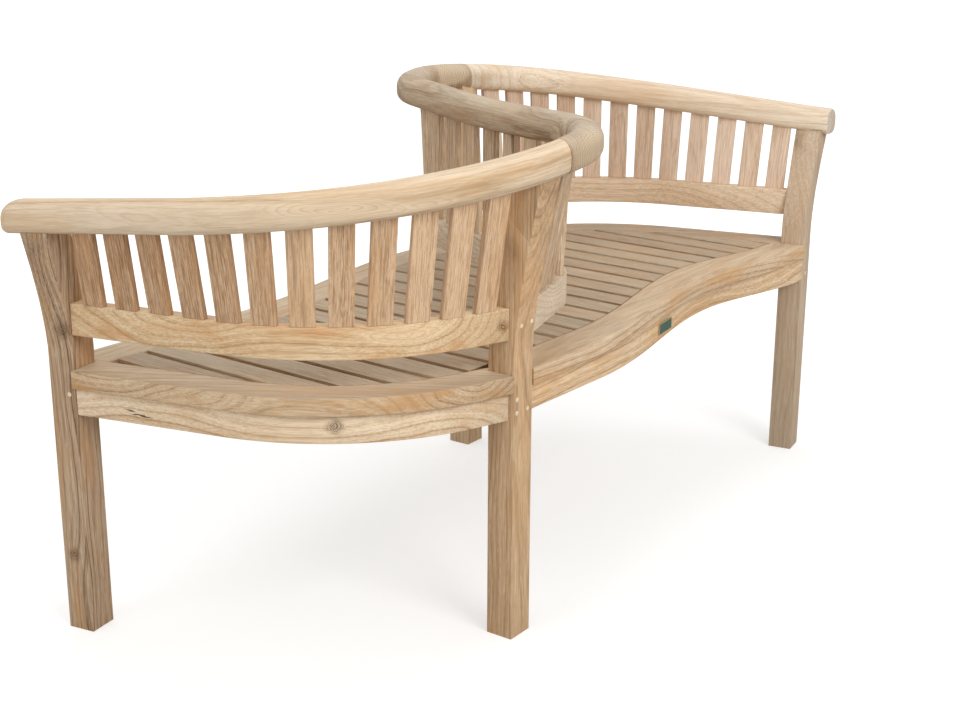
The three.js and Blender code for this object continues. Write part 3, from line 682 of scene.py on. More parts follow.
    # Teak, left as sawn: darker and duller, as nobody sees it.
    UNDERSIDE = TeakFinish("teak_sawn_batten", "c9a67a", "a98459", "765638", ring_mm=7.0)
    # Teak, turned: a pale dot of end grain with fine rings.
    PEG = TeakFinish(
        "teak_turned_peg", "f2e4cc", "e2cba6", "b9986e", ring_mm=3.0, ring_strength=0.2,
        end_strength=0.0,
    )


@dataclass(frozen=True)
class EnamelFinish:
    """Stove enamel on sheet metal, dulled outdoors: cloudy, half glossy, with fine orange peel."""

    name: str
    light: str
    dark: str
    cloud_mm: float = 4.167
    peel_mm: float = 0.1
    peel_strength: float = 0.2
    roughness: float = 0.35
    cloud_roughness: float = 0.15

    def build(self) -> bpy.types.Material:
        """Builds the finish.

        Returns:
            The material.
        """
        material = bpy.data.materials.new(self.name)
        tree = empty_tree(material)
        place = add_node(tree, "TexCoord", out="Object")
        patch = cloud(tree, place, (self.cloud_mm, self.cloud_mm), Detail=3.0)
        colour = add_node(
            tree, "Mix", patch, data_type="RGBA", i6=linear(self.light), i7=linear(self.dark), out=2
        )
        bump = add_node(
            tree, "Bump", Height=patch, Strength=self.peel_strength, Distance=self.peel_mm * MM
        )
        rough = weighted(tree, self.roughness, (patch, self.cloud_roughness))
        shader = add_node(tree, "BsdfPrincipled", Base_Color=colour, Roughness=rough, Normal=bump)
        add_node(tree, "OutputMaterial", shader)
        return material


@dataclass
class Plank:
    """How a piece was sawn from its log: the grain's direction and the pith's place."""

    along: Vector
    across: Vector
    centre: Vector
    pith_mm: Pair
    shift_mm: float
    tone: float

    def grain(self, point: Vector) -> Triple:
        """Finds a point's place in the log.

        Args:
            point: The point, in metres.

        Returns:
            Its place along the log and across it from the pith, in metres.
        """
        rest = point - self.centre
        third = self.along.cross(self.across)
        return (
            rest.dot(self.along) + self.shift_mm * MM,
            rest.dot(self.across) + self.pith_mm[0] * MM,
            rest.dot(third) + self.pith_mm[1] * MM,
        )

    def direction(self, point: Vector) -> Vector:
        """The grain's direction, the same at every point."""
        return self.along


@dataclass
class BentPlank:
    """A piece whose grain runs on round its curve, as in wood that grew or was sawn bent.

    Each station holds a distance along the curve in millimetres, the point there and the way on.
    """

    stations: list[tuple[float, Vector, Vector]]
    pith_mm: Pair
    drift: float
    tone: float

    def grain(self, point: Vector) -> Triple:
        """Finds a point's place in the bent log.

        Args:
            point: The point, in metres.

        Returns:
            Its place along the curve and across it from the pith, in metres.
        """
        distance, centre, ahead = self._nearest(point)
        rest = point - centre
        along = distance * MM + rest.dot(ahead)
        side = ahead.cross(Vector((0.0, 0.0, 1.0)))
        aside = rest.dot(side) + self.pith_mm[0] * MM + along * self.drift
        return along, aside, rest.z + self.pith_mm[1] * MM

    def direction(self, point: Vector) -> Vector:
        """The curve's direction beside a point."""
        return self._nearest(point)[2]

    def _nearest(self, point: Vector) -> tuple[float, Vector, Vector]:
        """The station of the curve that lies nearest to a point."""
        return min(self.stations, key=lambda station: (station[1] - point).length_squared)


@dataclass
class Sawyer:
    """Chooses a plank for each piece, the same one at every run."""

    far_pith_mm: float = 90.0
    near_pith_mm: float = 25.0
    log_mm: float = 5000.0
    tone_spread: float = 0.6
    steepest: float = 0.9

    def plank(
        self,
        name: str,
        points: np.ndarray,
        along: Vector | None = None,
        tone: float | None = None,
        tilt: float = 0.03,
    ) -> Plank:
        """Saws the plank of one piece.

        Args:
            name: The piece's name, which seeds the choice.
            points: The piece's points, one per row, in metres.
            along: The grain's direction, or None for the piece's longest direction.
            tone: From -1, pale, to 1, dark, or None for a chance tone.
            tilt: How far the grain may run out of the piece, as a slope.

        Returns:
            The plank.
        """
        chance = random.Random(f"teak {name}")
        centre = points.mean(axis=0)
        axes = np.linalg.svd(points - centre, full_matrices=False)[2]
        run = Vector(axes[0]) if along is None else along.normalized()
        thin = Vector(axes[2]) if along is None else Vector((0.0, 0.0, 1.0))
        if abs(run.dot(thin)) > self.steepest:
            thin = Vector((0.0, 1.0, 0.0))
        run = (run + thin * chance.uniform(-tilt, tilt)).normalized()
        thin = (thin - run * thin.dot(run)).normalized()
        far = chance.uniform(self.near_pith_mm, self.far_pith_mm) * chance.choice((-1, 1))
        aside = chance.uniform(-self.near_pith_mm, self.near_pith_mm)
        shift = chance.uniform(0, self.log_mm)
        if tone is None:
            tone = chance.uniform(-self.tone_spread, self.tone_spread)
        return Plank(run, thin, Vector(centre), (far, aside), shift, tone)


def points_of(mesh: Mesh) -> np.ndarray:
    """Reads a mesh's points.

    Args:
        mesh: The mesh.

    Returns:
        The points, one per row.
    """
    flat = np.zeros(len(mesh.vertices) * 3, np.float32)
    mesh.vertices.foreach_get("co", flat)
    return flat.reshape(-1, 3).astype(float)


def mesh_of(shape: BMesh, name: str) -> Mesh:
    """Turns a bmesh into a mesh and frees it.

    Args:
        shape: The bmesh.
        name: The mesh's name.

    Returns:
        The mesh.
    """
    mesh = bpy.data.meshes.new(name)
    shape.to_mesh(mesh)
    shape.free()
    return mesh


def ease(shape: BMesh, geom: list, radius_mm: float, steps: int, clamp: bool = True) -> None:
    """Rounds edges or corners over.

    Args:
        shape: The bmesh.
        geom: The edges of a solid, or the corners of a flat outline.
        radius_mm: The size of the rounding.
        steps: The number of faces round it.
        clamp: Whether roundings stop where they would meet.
    """
    affect = "VERTICES" if isinstance(geom[0], BMVert) else "EDGES"
    bmesh.ops.bevel(
        shape, geom=geom, offset=radius_mm * MM, offset_type="OFFSET", affect=affect,
        segments=steps, profile=0.5, material=-1, clamp_overlap=clamp,
    )


def mark_grain(
    mesh: Mesh, planks: Sequence[Plank | BentPlank], pick: Callable[[Vector], int] | None = None
) -> None:
    """Writes the grain, the grain's direction and the tone on a mesh's points.

    Args:
        mesh: The piece's mesh.
        planks: The planks that the piece is made of.
        pick: Gives the number of a point's plank, or None where there is one plank.
    """
    chosen = [planks[pick(v.co) if pick else 0] for v in mesh.vertices]
    grain = [n for v, p in zip(mesh.vertices, chosen) for n in p.grain(v.co)]
    along = [n for v, p in zip(mesh.vertices, chosen) for n in p.direction(v.co)]
    mesh.attributes.new("grain", "FLOAT_VECTOR", "POINT").data.foreach_set("vector", grain)
    mesh.attributes.new("along", "FLOAT_VECTOR", "POINT").data.foreach_set("vector", along)
    tones = [plank.tone for plank in chosen]
    mesh.attributes.new("tone", "FLOAT", "POINT").data.foreach_set("value", tones)


@dataclass
class Workshop:
    """Keeps the finishes, and turns meshes into finished pieces that ride on the bench."""

    smooth_degrees: float = 32.0
    made: dict[TeakFinish | EnamelFinish, bpy.types.Material] = field(default_factory=dict)

    def finish(self, mesh: Mesh, finish: TeakFinish | EnamelFinish) -> None:
        """Gives a mesh one more finish, which is built once.

        Args:
            mesh: The mesh.
            finish: The finish.
        """
        if finish not in self.made:
            self.made[finish] = finish.build()
        mesh.materials.append(self.made[finish])

    def place(self, name: str, mesh: Mesh, slot: str, nodes: tuple[str, ...] = ()) -> None:
        """Makes a finished mesh a piece of the bench.

        Args:
            name: The piece's name.
            mesh: Its mesh, with its place and its finish in it.
            slot: The record's material slot; not used.
            nodes: The frame's nodes that it stands for.
        """
        mesh.polygons.foreach_set("use_smooth", [True] * len(mesh.polygons))
        mesh.set_sharp_from_angle(angle=math.radians(self.smooth_degrees))
        piece = bpy.data.objects.new(name, mesh)
        bpy.context.scene.collection.objects.link(piece)
        if nodes:
            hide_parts(*nodes)
        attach(piece, ROOT_BODY)
        LOG.info("%s: %d faces", name, len(mesh.polygons))


@dataclass
class Joinery:
    """The flat-faced pieces of the bench: copies of the frame's nodes with worked edges."""

    workshop: Workshop
    sawyer: Sawyer
    weld_mm: float = 0.02
    flat_degrees: float = 0.25
    sharp_degrees: float = 28.0
    edge_steps: int = 3

    def worked(
        self, node: str, edge_mm: float, eased: Callable[[BMEdge], bool], clamp: bool = True
    ) -> Mesh:
        """Copies a node's mesh, welds it and eases some of its edges.

        Args:
            node: The frame's node.
            edge_mm: The radius of the worked edges.
            eased: True for an edge that is worked.
            clamp: Whether roundings stop where they would meet.

        Returns:
            The mesh.
        """
        shape = bmesh.new()
        shape.from_mesh(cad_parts[node].data)
        bmesh.ops.remove_doubles(shape, verts=shape.verts, dist=self.weld_mm * MM)
        bmesh.ops.dissolve_limit(
            shape, angle_limit=math.radians(self.flat_degrees), verts=shape.verts, edges=shape.edges
        )
        ease(shape, [edge for edge in shape.edges if eased(edge)], edge_mm, self.edge_steps, clamp)
        bmesh.ops.triangulate(shape, faces=[face for face in shape.faces if len(face.verts) > 4])
        return mesh_of(shape, f"wood_{node}")

    def is_sharp(self, edge: BMEdge, below: float = math.inf, above: float = -math.inf) -> bool:
        """Finds the edges that the maker rounded over.

        Args:
            edge: The edge.
            below: The height, in metres, under which edges are worked.
            above: The height, in metres, over which edges are worked.

        Returns:
            True where two faces meet at a corner between these heights.
        """
        heights = [vert.co.z for vert in edge.verts]
        if len(edge.link_faces) != 2 or max(heights) > below or min(heights) < above:
            return False
        return edge.calc_face_angle(0.0) > math.radians(self.sharp_degrees)

    def place(
        self,
        node: str,
        mesh: Mesh,
        finish: Finish,
        slot: str,
        planks: Sequence[Plank],
        pick: Callable[[Vector], int] | None = None,
    ) -> None:
        """Gives a worked mesh its grain and finish, and puts it in the place of its node.

        Args:
            node: The frame's node.
            mesh: The worked mesh.
            finish: Its wood.
            slot: The record's material slot.
            planks: The planks that it was sawn from.
            pick: Gives the number of a point's plank, or None where there is one plank.
        """
        mark_grain(mesh, planks, pick)
        self.workshop.finish(mesh, finish.value)
        self.workshop.place(f"wood_{node}", mesh, slot, (node,))

    def board(
        self,
        node: str,
        finish: Finish,
        slot: str,
        edge_mm: float,
        below: float = math.inf,
        along: Vector | None = None,
    ) -> None:
        """Makes one board with its sharp edges rounded over.

        Args:
            node: The frame's node.
            finish: Its wood.
            slot: The record's material slot.
            edge_mm: The radius of the worked edges.
            below: The height, in metres, under which edges are worked.
            along: The grain's direction, or None for the longest one.
        """
        mesh = self.worked(node, edge_mm, lambda edge: self.is_sharp(edge, below=below))
        plank = self.sawyer.plank(node, points_of(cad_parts[node].data), along)
        self.place(node, mesh, finish, slot, [plank])


@dataclass
class Carcass:
    """The posts, borders, aprons and lower rails."""

    joinery: Joinery
    post_edge_mm: float = 2.5
    board_edge_mm: float = 4.0
    apron_edge_mm: float = 2.0
    post_top: float = 0.63
    posts: tuple[tuple[str, Finish], ...] = (
        ("post_left_end", Finish.POST),
        ("post_left_corner", Finish.POST_CORNER),
        ("post_right_end", Finish.POST_FAR),
        ("post_right_corner", Finish.POST_CORNER),
    )
    borders: tuple[tuple[str, Finish], ...] = (
        ("border_back_left", Finish.BOARD),
        ("border_back_right", Finish.BOARD),
        ("border_front_left", Finish.BOARD),
        ("border_front_right", Finish.BOARD_FRONT),
    )
    aprons: tuple[tuple[str, Finish], ...] = (
        ("apron_back_left", Finish.APRON),
        ("apron_back_right", Finish.APRON),
        ("apron_front_left", Finish.APRON),
        ("apron_front_right", Finish.APRON_FRONT),
        ("back_rail_left", Finish.BACK_RAIL),
        ("back_rail_right", Finish.BACK_RAIL_FAR),
        ("back_rail_middle", Finish.BACK_RAIL_MIDDLE),
    )

    def build(self) -> None:
        """Works all the boards. The posts' tops stay square, hidden in the hand rail."""
        upright = Vector((0.0, 0.0, 1.0))
        for node, finish in self.posts:
            self.joinery.board(node, finish, "teak_post", self.post_edge_mm, self.post_top, upright)
        for node, finish in self.borders:
            self.joinery.board(node, finish, "teak_board", self.board_edge_mm)
        for node, finish in self.aprons:
            self.joinery.board(node, finish, "teak_apron", self.apron_edge_mm)


@dataclass(frozen=True)
class SlatRow:
    """One back's row of slats: how its nodes' names start, its wood, and the tones of its ends."""

    start: str
    finish: Finish
    first_tone: float
    last_tone: float


@dataclass
class Slats:
    """The back slats. Only their long edges are worked, and their heads stay under the rail."""

    joinery: Joinery
    edge_mm: float = 1.6
    long_mm: float = 60.0
    tone_spread: float = 0.6
    tilt: float = 0.012
    rows: tuple[SlatRow, ...] = (
        SlatRow("back_slat_left", Finish.SLAT, 1.1, -0.7),
        SlatRow("back_slat_right", Finish.SLAT_FAR, -0.1, 0.1),
        SlatRow("back_slat_middle", Finish.SLAT_MIDDLE, 0.0, 0.0),
    )

    def build(self) -> None:
        """Works every slat of the three backs, each row from its first to its last tone."""
        for row in self.rows:
            nodes = sorted(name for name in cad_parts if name.startswith(row.start))
            for number, node in enumerate(nodes):
                chance = random.Random(f"tone {node}").uniform(-self.tone_spread, self.tone_spread)
                step = (row.last_tone - row.first_tone) * number / (len(nodes) - 1)
                self._slat(node, row.finish, row.first_tone + step + chance)

    def _slat(self, node: str, finish: Finish, tone: float) -> None:
        """Makes one slat.

        Args:
            node: The frame's node.
            finish: Its wood.
            tone: From -1, pale, to 1, dark.
        """
        long = self.long_mm * MM
        mesh = self.joinery.worked(
            node, self.edge_mm, lambda edge: edge.calc_length() > long, clamp=False
        )
        points = points_of(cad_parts[node].data)
        plank = self.joinery.sawyer.plank(node, points, tone=tone, tilt=self.tilt)
        self.joinery.place(node, mesh, finish, "teak_slat", [plank])


@dataclass
class Seat:
    """The two seat panels, whose slats are sawn from planks of their own."""

    joinery: Joinery
    pitch_mm: float = 59.3
    edge_mm: float = 2.0
    batten_edge_mm: float = 1.5
    top: float = 0.45
    top_slack_mm: float = 0.5
    slats_each_way: int = 12

    def build(self) -> None:
        """Works both panels and the rail under them."""
        above = self.top - self.top_slack_mm * MM
        for node in ("seat_panel_left", "seat_panel_right"):
            mesh = self.joinery.worked(
                node, self.edge_mm, lambda edge: self.joinery.is_sharp(edge, above=above)
            )
            points = points_of(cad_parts[node].data)
            numbers = range(-self.slats_each_way, self.slats_each_way + 1)
            planks = [self._plank(node, points, number) for number in numbers]
            self.joinery.place(node, mesh, Finish.SEAT, "teak_seat", planks, self._pick)
        self.joinery.board(
            "seat_cross_rail", Finish.UNDERSIDE, "teak_underside", self.batten_edge_mm
        )

    def _pick(self, point: Vector) -> int:
        """The place in the list of planks of the slat that a point lies on."""
        return round((point.x / MM - S_MIDDLE_MM[0]) / self.pitch_mm) + self.slats_each_way

    def _plank(self, node: str, points: np.ndarray, number: int) -> Plank:
        """Saws the plank of one seat slat.

        Args:
            node: The panel's node.
            points: The panel's points.
            number: The slat's number from the middle of the bench, negative to the left.

        Returns:
            The plank.
        """
        plank = self.joinery.sawyer.plank(f"{node} {number}", points, Vector((0.0, 1.0, 0.0)))
        plank.centre = in_frame(number * self.pitch_mm, 0.0, self.top / MM)
        return plank


@dataclass(frozen=True)
class PlanPath:
    """A plan path of runs and arcs, in millimetres and degrees, with positive turns to the left."""

    heading: float
    parts: tuple[Pair, ...]

    def lengths(self) -> list[Pair]:
        """Measures the parts. A part is a radius and a turn, or a run and 0.

        Returns:
            Each part's length and its turn in radians.
        """
        return [
            (size * math.radians(abs(turn)) if turn else size, math.radians(turn))
            for size, turn in self.parts
        ]

    @property
    def length(self) -> float:
        """The whole length."""
        return sum(length for length, _ in self.lengths())

    def follow(self, distance: float) -> Triple:
        """Goes along the path.

        Args:
            distance: How far, from its start.

        Returns:
            The x, the y and the heading in radians that it comes to.
        """
        x, y, heading, left = 0.0, 0.0, math.radians(self.heading), distance
        for length, turn in self.lengths():
            step = min(left, length)
            bend = turn * step / length
            chord = step if bend == 0 else step * math.sin(bend / 2) / (bend / 2)
            x += chord * math.cos(heading + bend / 2)
            y += chord * math.sin(heading + bend / 2)
            heading += bend
            left -= step
        return x + left * math.cos(heading), y + left * math.sin(heading), heading


@dataclass(frozen=True)
class RailLine:
    """The hand rail's middle line. Distances from the middle are negative to the left."""

    left: PlanPath = PlanPath(
        70.4 - 180, ((229, 0), (212, -59.6), (7, 0), (428, -92.6), (310, 0))
    )
    right: PlanPath = PlanPath(
        70.4, ((229, 0), (118, -46.1), (26, 0), (319, -84.2), (506, 0))
    )
    height_shares: Triple = (0.3, 0.65, 1.0)
    heights: tuple[float, ...] = (688, 741, 786, 781, 792, 750, 692)

    def places(self) -> list[float]:
        """Finds where the heights are set.

        Returns:
            The distances from the left end's to the right end's.
        """
        left, right = self.left.length, self.right.length
        to_left = [-left * share for share in reversed(self.height_shares)]
        return to_left + [0.0] + [right * share for share in self.height_shares]

    def height(self, distance: float) -> float:
        """Runs a smooth curve through the set heights.

        Args:
            distance: The distance along the rail.

        Returns:
            The height of the middle line there, in millimetres.
        """
        t, v = self.places(), self.heights
        last = len(t) - 1
        i = max(1, next((k for k, place in enumerate(t) if distance < place), last))
        before, after = (i - 2 if i > 1 else i), (i + 1 if i < last else i - 1)
        half = (t[i] - t[i - 1]) / 2
        w0 = half / (t[i - 1] - t[before])
        w1 = half / (t[after] - t[i])
        p = (distance - t[i - 1]) / (t[i] - t[i - 1])
        a = -w0 * p ** 3 + 2 * w0 * p ** 2 - w0 * p
        b = (1 + w0) * p ** 3 + (-1.5 - 2 * w0) * p ** 2 + (w0 - 0.5) * p + 1
        c = (-1 - w1) * p ** 3 + (1.5 + w1) * p ** 2 + 0.5 * p
        d = w1 * p ** 3 - w1 * p ** 2
        return a * v[before] + b * v[i - 1] + c * v[i] + d * v[after]

    def place(self, distance: float) -> tuple[Vector, float]:
        """Finds a place on the line.

        Args:
            distance: The distance along the rail.

        Returns:
            The point in metres, and the heading from the left end towards the right end.
        """
        if distance < 0:
            x, y, heading = self.left.follow(-distance)
            heading += math.pi
        else:
            x, y, heading = self.right.follow(distance)
        return in_frame(x, y, self.height(distance)), heading


@dataclass(frozen=True)
class RailEnd:
    """How an end of a rail piece is shaped: the length and depth of its roundings, and its skew."""

    side_mm: Pair = (0.0, 0.0)
    top_mm: Pair = (0.0, 0.0)
    bottom_mm: Pair = (0.0, 0.0)
    skew: float = 0.0
    skew_reach_mm: float = 90.0

    @property
    def reach_mm(self) -> float:
        """How far from the end the rounding starts."""
        return max(self.side_mm[0], self.top_mm[0], self.bottom_mm[0])

    def inset(self, rounding: Pair, gap: float) -> float:
        """Measures how deep a rounding cuts in.

        Args:
            rounding: Its length and its depth.
            gap: The distance from the end.

        Returns:
            The depth there.
        """
        length, depth = rounding
        if gap >= length:
            return 0.0
        share = 1 - gap / length
        return depth * (1 - math.sqrt(max(0.0, 1 - share * share)))

    def skew_at(self, gap: float) -> float:
        """How far the section is turned at a distance from the end, in radians."""
        return self.skew * (1 - gap / self.skew_reach_mm) ** 2 if gap < self.skew_reach_mm else 0.0


@dataclass(frozen=True)
class RailPiece:
    """One of the pieces that the hand rail is glued up from, between two distances along it."""

    node: str
    start: float
    stop: float
    width_mm: float
    finish: Finish
    first_end: RailEnd
    last_end: RailEnd


@dataclass
class TopRail:
    """The hand rail: a flat-bottomed round section swept along the back, in three pieces."""

    workshop: Workshop
    line: RailLine = RailLine()
    width_mm: float = 51.0
    middle_width_mm: float = 54.0
    height_mm: float = 51.5
    top_radius_mm: float = 24.0
    bottom_radius_mm: float = 17.0
    left_joint_mm: float = 500.0
    right_joint_mm: float = 532.0
    seam_mm: float = 0.3
    step_mm: float = 9.0
    round_steps: int = 9
    least_size: float = 0.02
    joint: RailEnd = RailEnd(skew=-0.45)
    left_end: RailEnd = RailEnd((24.0, 21.0), (36.0, 24.0), (14.0, 13.0))
    right_end: RailEnd = RailEnd((3.0, 3.0), (3.0, 3.0), (3.0, 3.0), -0.39, 60.0)

    def build(self) -> None:
        """Builds the pieces. The left one was sawn along its own bend, the others straight."""
        from_left, to_right = -self.line.left.length, self.line.right.length
        left = RailPiece(
            "top_rail_left", from_left, -self.left_joint_mm, self.width_mm,
            Finish.RAIL_NEAR, self.left_end, self.joint,
        )
        middle = RailPiece(
            "top_rail_middle", self.seam_mm - self.left_joint_mm,
            self.right_joint_mm - self.seam_mm, self.middle_width_mm,
            Finish.RAIL_MIDDLE, self.joint, RailEnd(),
        )
        right = RailPiece(
            "top_rail_right", self.right_joint_mm, to_right, self.width_mm,
            Finish.RAIL_FAR, RailEnd(), self.right_end,
        )
        self._piece(left, self._bent(left, (40.0, -6.0), -0.012, -0.3))
        self._piece(middle, self._plank(-100.0, 0.0, (3.0, -3.0), 0.2))
        self._piece(right, self._plank(900.0, -0.06, (-42.0, 10.0), -0.2))

    def _bent(self, piece: RailPiece, pith_mm: Pair, drift: float, tone: float) -> BentPlank:
        """Saws a plank whose grain follows the rail's bend.

        Args:
            piece: The piece that it is for.
            pith_mm: The place of the rail's middle line from the pith, sideways and upwards.
            drift: How fast the grain drifts sideways along the piece, as a slope.
            tone: From -1, pale, to 1, dark.

        Returns:
            The plank.
        """
        count = round((piece.stop - piece.start) / self.step_mm)
        stations = []
        for number in range(count + 1):
            distance = piece.start + (piece.stop - piece.start) * number / count
            point, heading = self.line.place(distance)
            stations.append((distance, point, Vector((math.cos(heading), math.sin(heading), 0.0))))
        return BentPlank(stations, pith_mm, drift, tone)

    def _plank(self, distance: float, slope: float, pith_mm: Pair, tone: float) -> Plank:
        """Saws a straight plank.

        Args:
            distance: Where along the rail the grain runs level with it.
            slope: The slope of the grain there.
            pith_mm: The place of the rail's middle line from the pith, sideways and upwards.
            tone: From -1, pale, to 1, dark.

        Returns:
            The plank.
        """
        point, heading = self.line.place(distance)
        along = Vector((math.cos(heading), math.sin(heading), slope)).normalized()
        across = Vector((math.sin(heading), -math.cos(heading), 0.0))
        return Plank(along, across, point, pith_mm, distance, tone)

    def _piece(self, piece: RailPiece, plank: Plank | BentPlank) -> None:
        """Sweeps one piece and gives it its grain.

        Args:
            piece: The piece.
            plank: The plank that it was sawn from.
        """
        shape = bmesh.new()
        ring = self._section(shape, piece.width_mm)
        before = Matrix.Identity(4)
        for number, station in enumerate(self._stations(piece)):
            matrix = self._ring_frame(piece, station)
            if number:
                grown = bmesh.ops.extrude_edge_only(shape, edges=ring)["geom"]
                ring = [item for item in grown if isinstance(item, BMEdge)]
            verts = list({vert for edge in ring for vert in edge.verts})
            bmesh.ops.transform(shape, matrix=matrix @ before.inverted(), verts=verts)
            before = matrix
            if not number:
                bmesh.ops.edgeloop_fill(shape, edges=ring)
        bmesh.ops.edgeloop_fill(shape, edges=ring)
        bmesh.ops.recalc_face_normals(shape, faces=shape.faces)
        name = f"hand_{piece.node}"
        mesh = mesh_of(shape, name)
        mark_grain(mesh, [plank])
        self.workshop.finish(mesh, piece.finish.value)
        self.workshop.place(name, mesh, "teak_rail", (piece.node,))

    def _section(self, shape: BMesh, width: float) -> list[BMEdge]:
        """Draws the section, x level and y upright, in metres.

        Args:
            shape: The bmesh to draw it in.
            width: The section's width, in millimetres.

        Returns:
            Its outline as one loop of edges.
        """
        corners = bmesh.ops.create_grid(shape, x_segments=1, y_segments=1, size=0.5)["verts"]
        bmesh.ops.scale(shape, vec=(width * MM, self.height_mm * MM, 1.0), verts=corners)
        top = [vert for vert in shape.verts if vert.co.y > 0]
        low = [vert for vert in shape.verts if vert.co.y < 0]
        ease(shape, top, self.top_radius_mm, self.round_steps, clamp=False)
        ease(shape, low, self.bottom_radius_mm, self.round_steps // 2 + 1, clamp=False)
        bmesh.ops.delete(shape, geom=list(shape.faces), context="FACES_ONLY")
        return list(shape.edges)

    def _stations(self, piece: RailPiece) -> list[float]:
        """Spaces the rings of a piece, close together where an end is rounded.

        Args:
            piece: The piece.

        Returns:
            Their distances along the rail.
        """
        first, last = piece.first_end.reach_mm, piece.last_end.reach_mm
        start, stop = piece.start + first, piece.stop - last
        count = max(2, round((piece.stop - piece.start) / self.step_mm))
        stations = [start + (stop - start) * number / count for number in range(count + 1)]
        steps = range(1, self.round_steps + 1)
        closer = [1 - math.sin(math.pi / 2 * step / self.round_steps) for step in steps]
        if first:
            stations = [piece.start + first * share for share in reversed(closer)] + stations
        if last:
            stations += [piece.stop - last * share for share in closer]
        return stations

    def _ring_frame(self, piece: RailPiece, station: float) -> Matrix:
        """Places, turns and sizes the section.

        Args:
            piece: The piece.
            station: The distance along the rail.

        Returns:
            The section's matrix there.
        """
        point, heading = self.line.place(station)
        side, top, bottom, skew = 0.0, 0.0, 0.0, 0.0
        gaps = (station - piece.start, piece.stop - station)
        for gap, end in zip(gaps, (piece.first_end, piece.last_end)):
            side += end.inset(end.side_mm, gap)
            top += end.inset(end.top_mm, gap)
            bottom += end.inset(end.bottom_mm, gap)
            skew += end.skew_at(gap)
        across = Vector((math.sin(heading + skew), -math.cos(heading + skew), 0.0))
        ahead = Vector((math.cos(heading + skew), math.sin(heading + skew), 0.0))
        turn = Matrix((across, Vector((0.0, 0.0, 1.0)), ahead)).transposed().to_4x4()
        level = (1 - 2 * side / piece.width_mm) / math.cos(skew)
        upright = 1 - (top + bottom) / self.height_mm
        least = self.least_size
        size = Matrix.Diagonal((max(level, least), max(upright, least), 1.0, 1.0))
        lift = Vector((0.0, 0.0, (bottom - top) / 2 * MM))
        return Matrix.Translation(point + lift) @ turn @ size


@dataclass(frozen=True)
class PegPlace:
    """One peg: its post, a point in front of its place in millimetres, and the way it looks out."""

    post: str
    x: float
    y: float
    z: float
    out_degrees: float


@dataclass
class Pegs:
    """The turned wooden pegs that lock the tenons in the posts.

    The corner posts have the same pegs, each at a place along the post's face and a height.
    """

    workshop: Workshop
    sawyer: Sawyer
    radius_mm: float = 3.9
    depth_mm: float = 6.0
    proud_mm: float = 0.5
    dome_mm: float = 0.8
    dome_steps: int = 2
    sides: int = 20
    corner_x: tuple[float, ...] = (342.6, 315.4, 346.5, 347.4, 317.6)
    corner_z: tuple[float, ...] = (527.6, 529.0, 408.3, 386.4, 386.9)
    corner_front: float = 400.0
    corner_out: float = 91.7
    ends: tuple[PegPlace, ...] = (
        PegPlace("post_left_end", -850, 217.9, 407.7, 191.3),
        PegPlace("post_right_end", 763.0, -380, 384.4, -78.7),
    )

    def build(self) -> None:
        """Turns every peg, the left corner's first and the right corner's last."""
        spots = list(zip(self.corner_x, self.corner_z))
        front, out = self.corner_front, self.corner_out
        left = [PegPlace("post_left_corner", -x, -front, z, out - 180) for x, z in spots]
        right = [PegPlace("post_right_corner", x, front, z, out) for x, z in spots]
        for number, place in enumerate((*left, *self.ends, *right), start=1):
            self._peg(f"peg_{number:02d}", place)

    def _face(self, place: PegPlace, out: Vector) -> Vector:
        """Finds the point of the post's face that a peg comes through.

        Args:
            place: The peg's place.
            out: The way it looks out.

        Returns:
            The point.
        """
        shape = bmesh.new()
        shape.from_mesh(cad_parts[place.post].data)
        tree = BVHTree.FromBMesh(shape)
        shape.free()
        return tree.ray_cast(in_frame(place.x, place.y, place.z), -out)[0]

    def _peg(self, name: str, place: PegPlace) -> None:
        """Turns one peg with a softly domed end.

        Args:
            name: The peg's name.
            place: Its place.
        """
        shape = bmesh.new()
        radius = self.radius_mm * MM
        bmesh.ops.create_cone(
            shape, cap_ends=True, segments=self.sides, radius1=radius, radius2=radius,
            depth=self.depth_mm * MM,
        )
        rim = [edge for edge in shape.edges if all(vert.co.z > 0 for vert in edge.verts)]
        ease(shape, rim, self.dome_mm, self.dome_steps)
        turn = math.radians(place.out_degrees)
        out = Vector((math.cos(turn), math.sin(turn), 0.0))
        centre = self._face(place, out) - out * (self.depth_mm / 2 - self.proud_mm) * MM
        lie = Matrix.Rotation(turn, 4, "Z") @ Matrix.Rotation(math.pi / 2, 4, "Y")
        bmesh.ops.transform(shape, matrix=Matrix.Translation(centre) @ lie, verts=shape.verts)
        mesh = mesh_of(shape, name)
        mark_grain(mesh, [self.sawyer.plank(name, points_of(mesh))])
        self.workshop.finish(mesh, Finish.PEG.value)
        self.workshop.place(name, mesh, "teak_post")


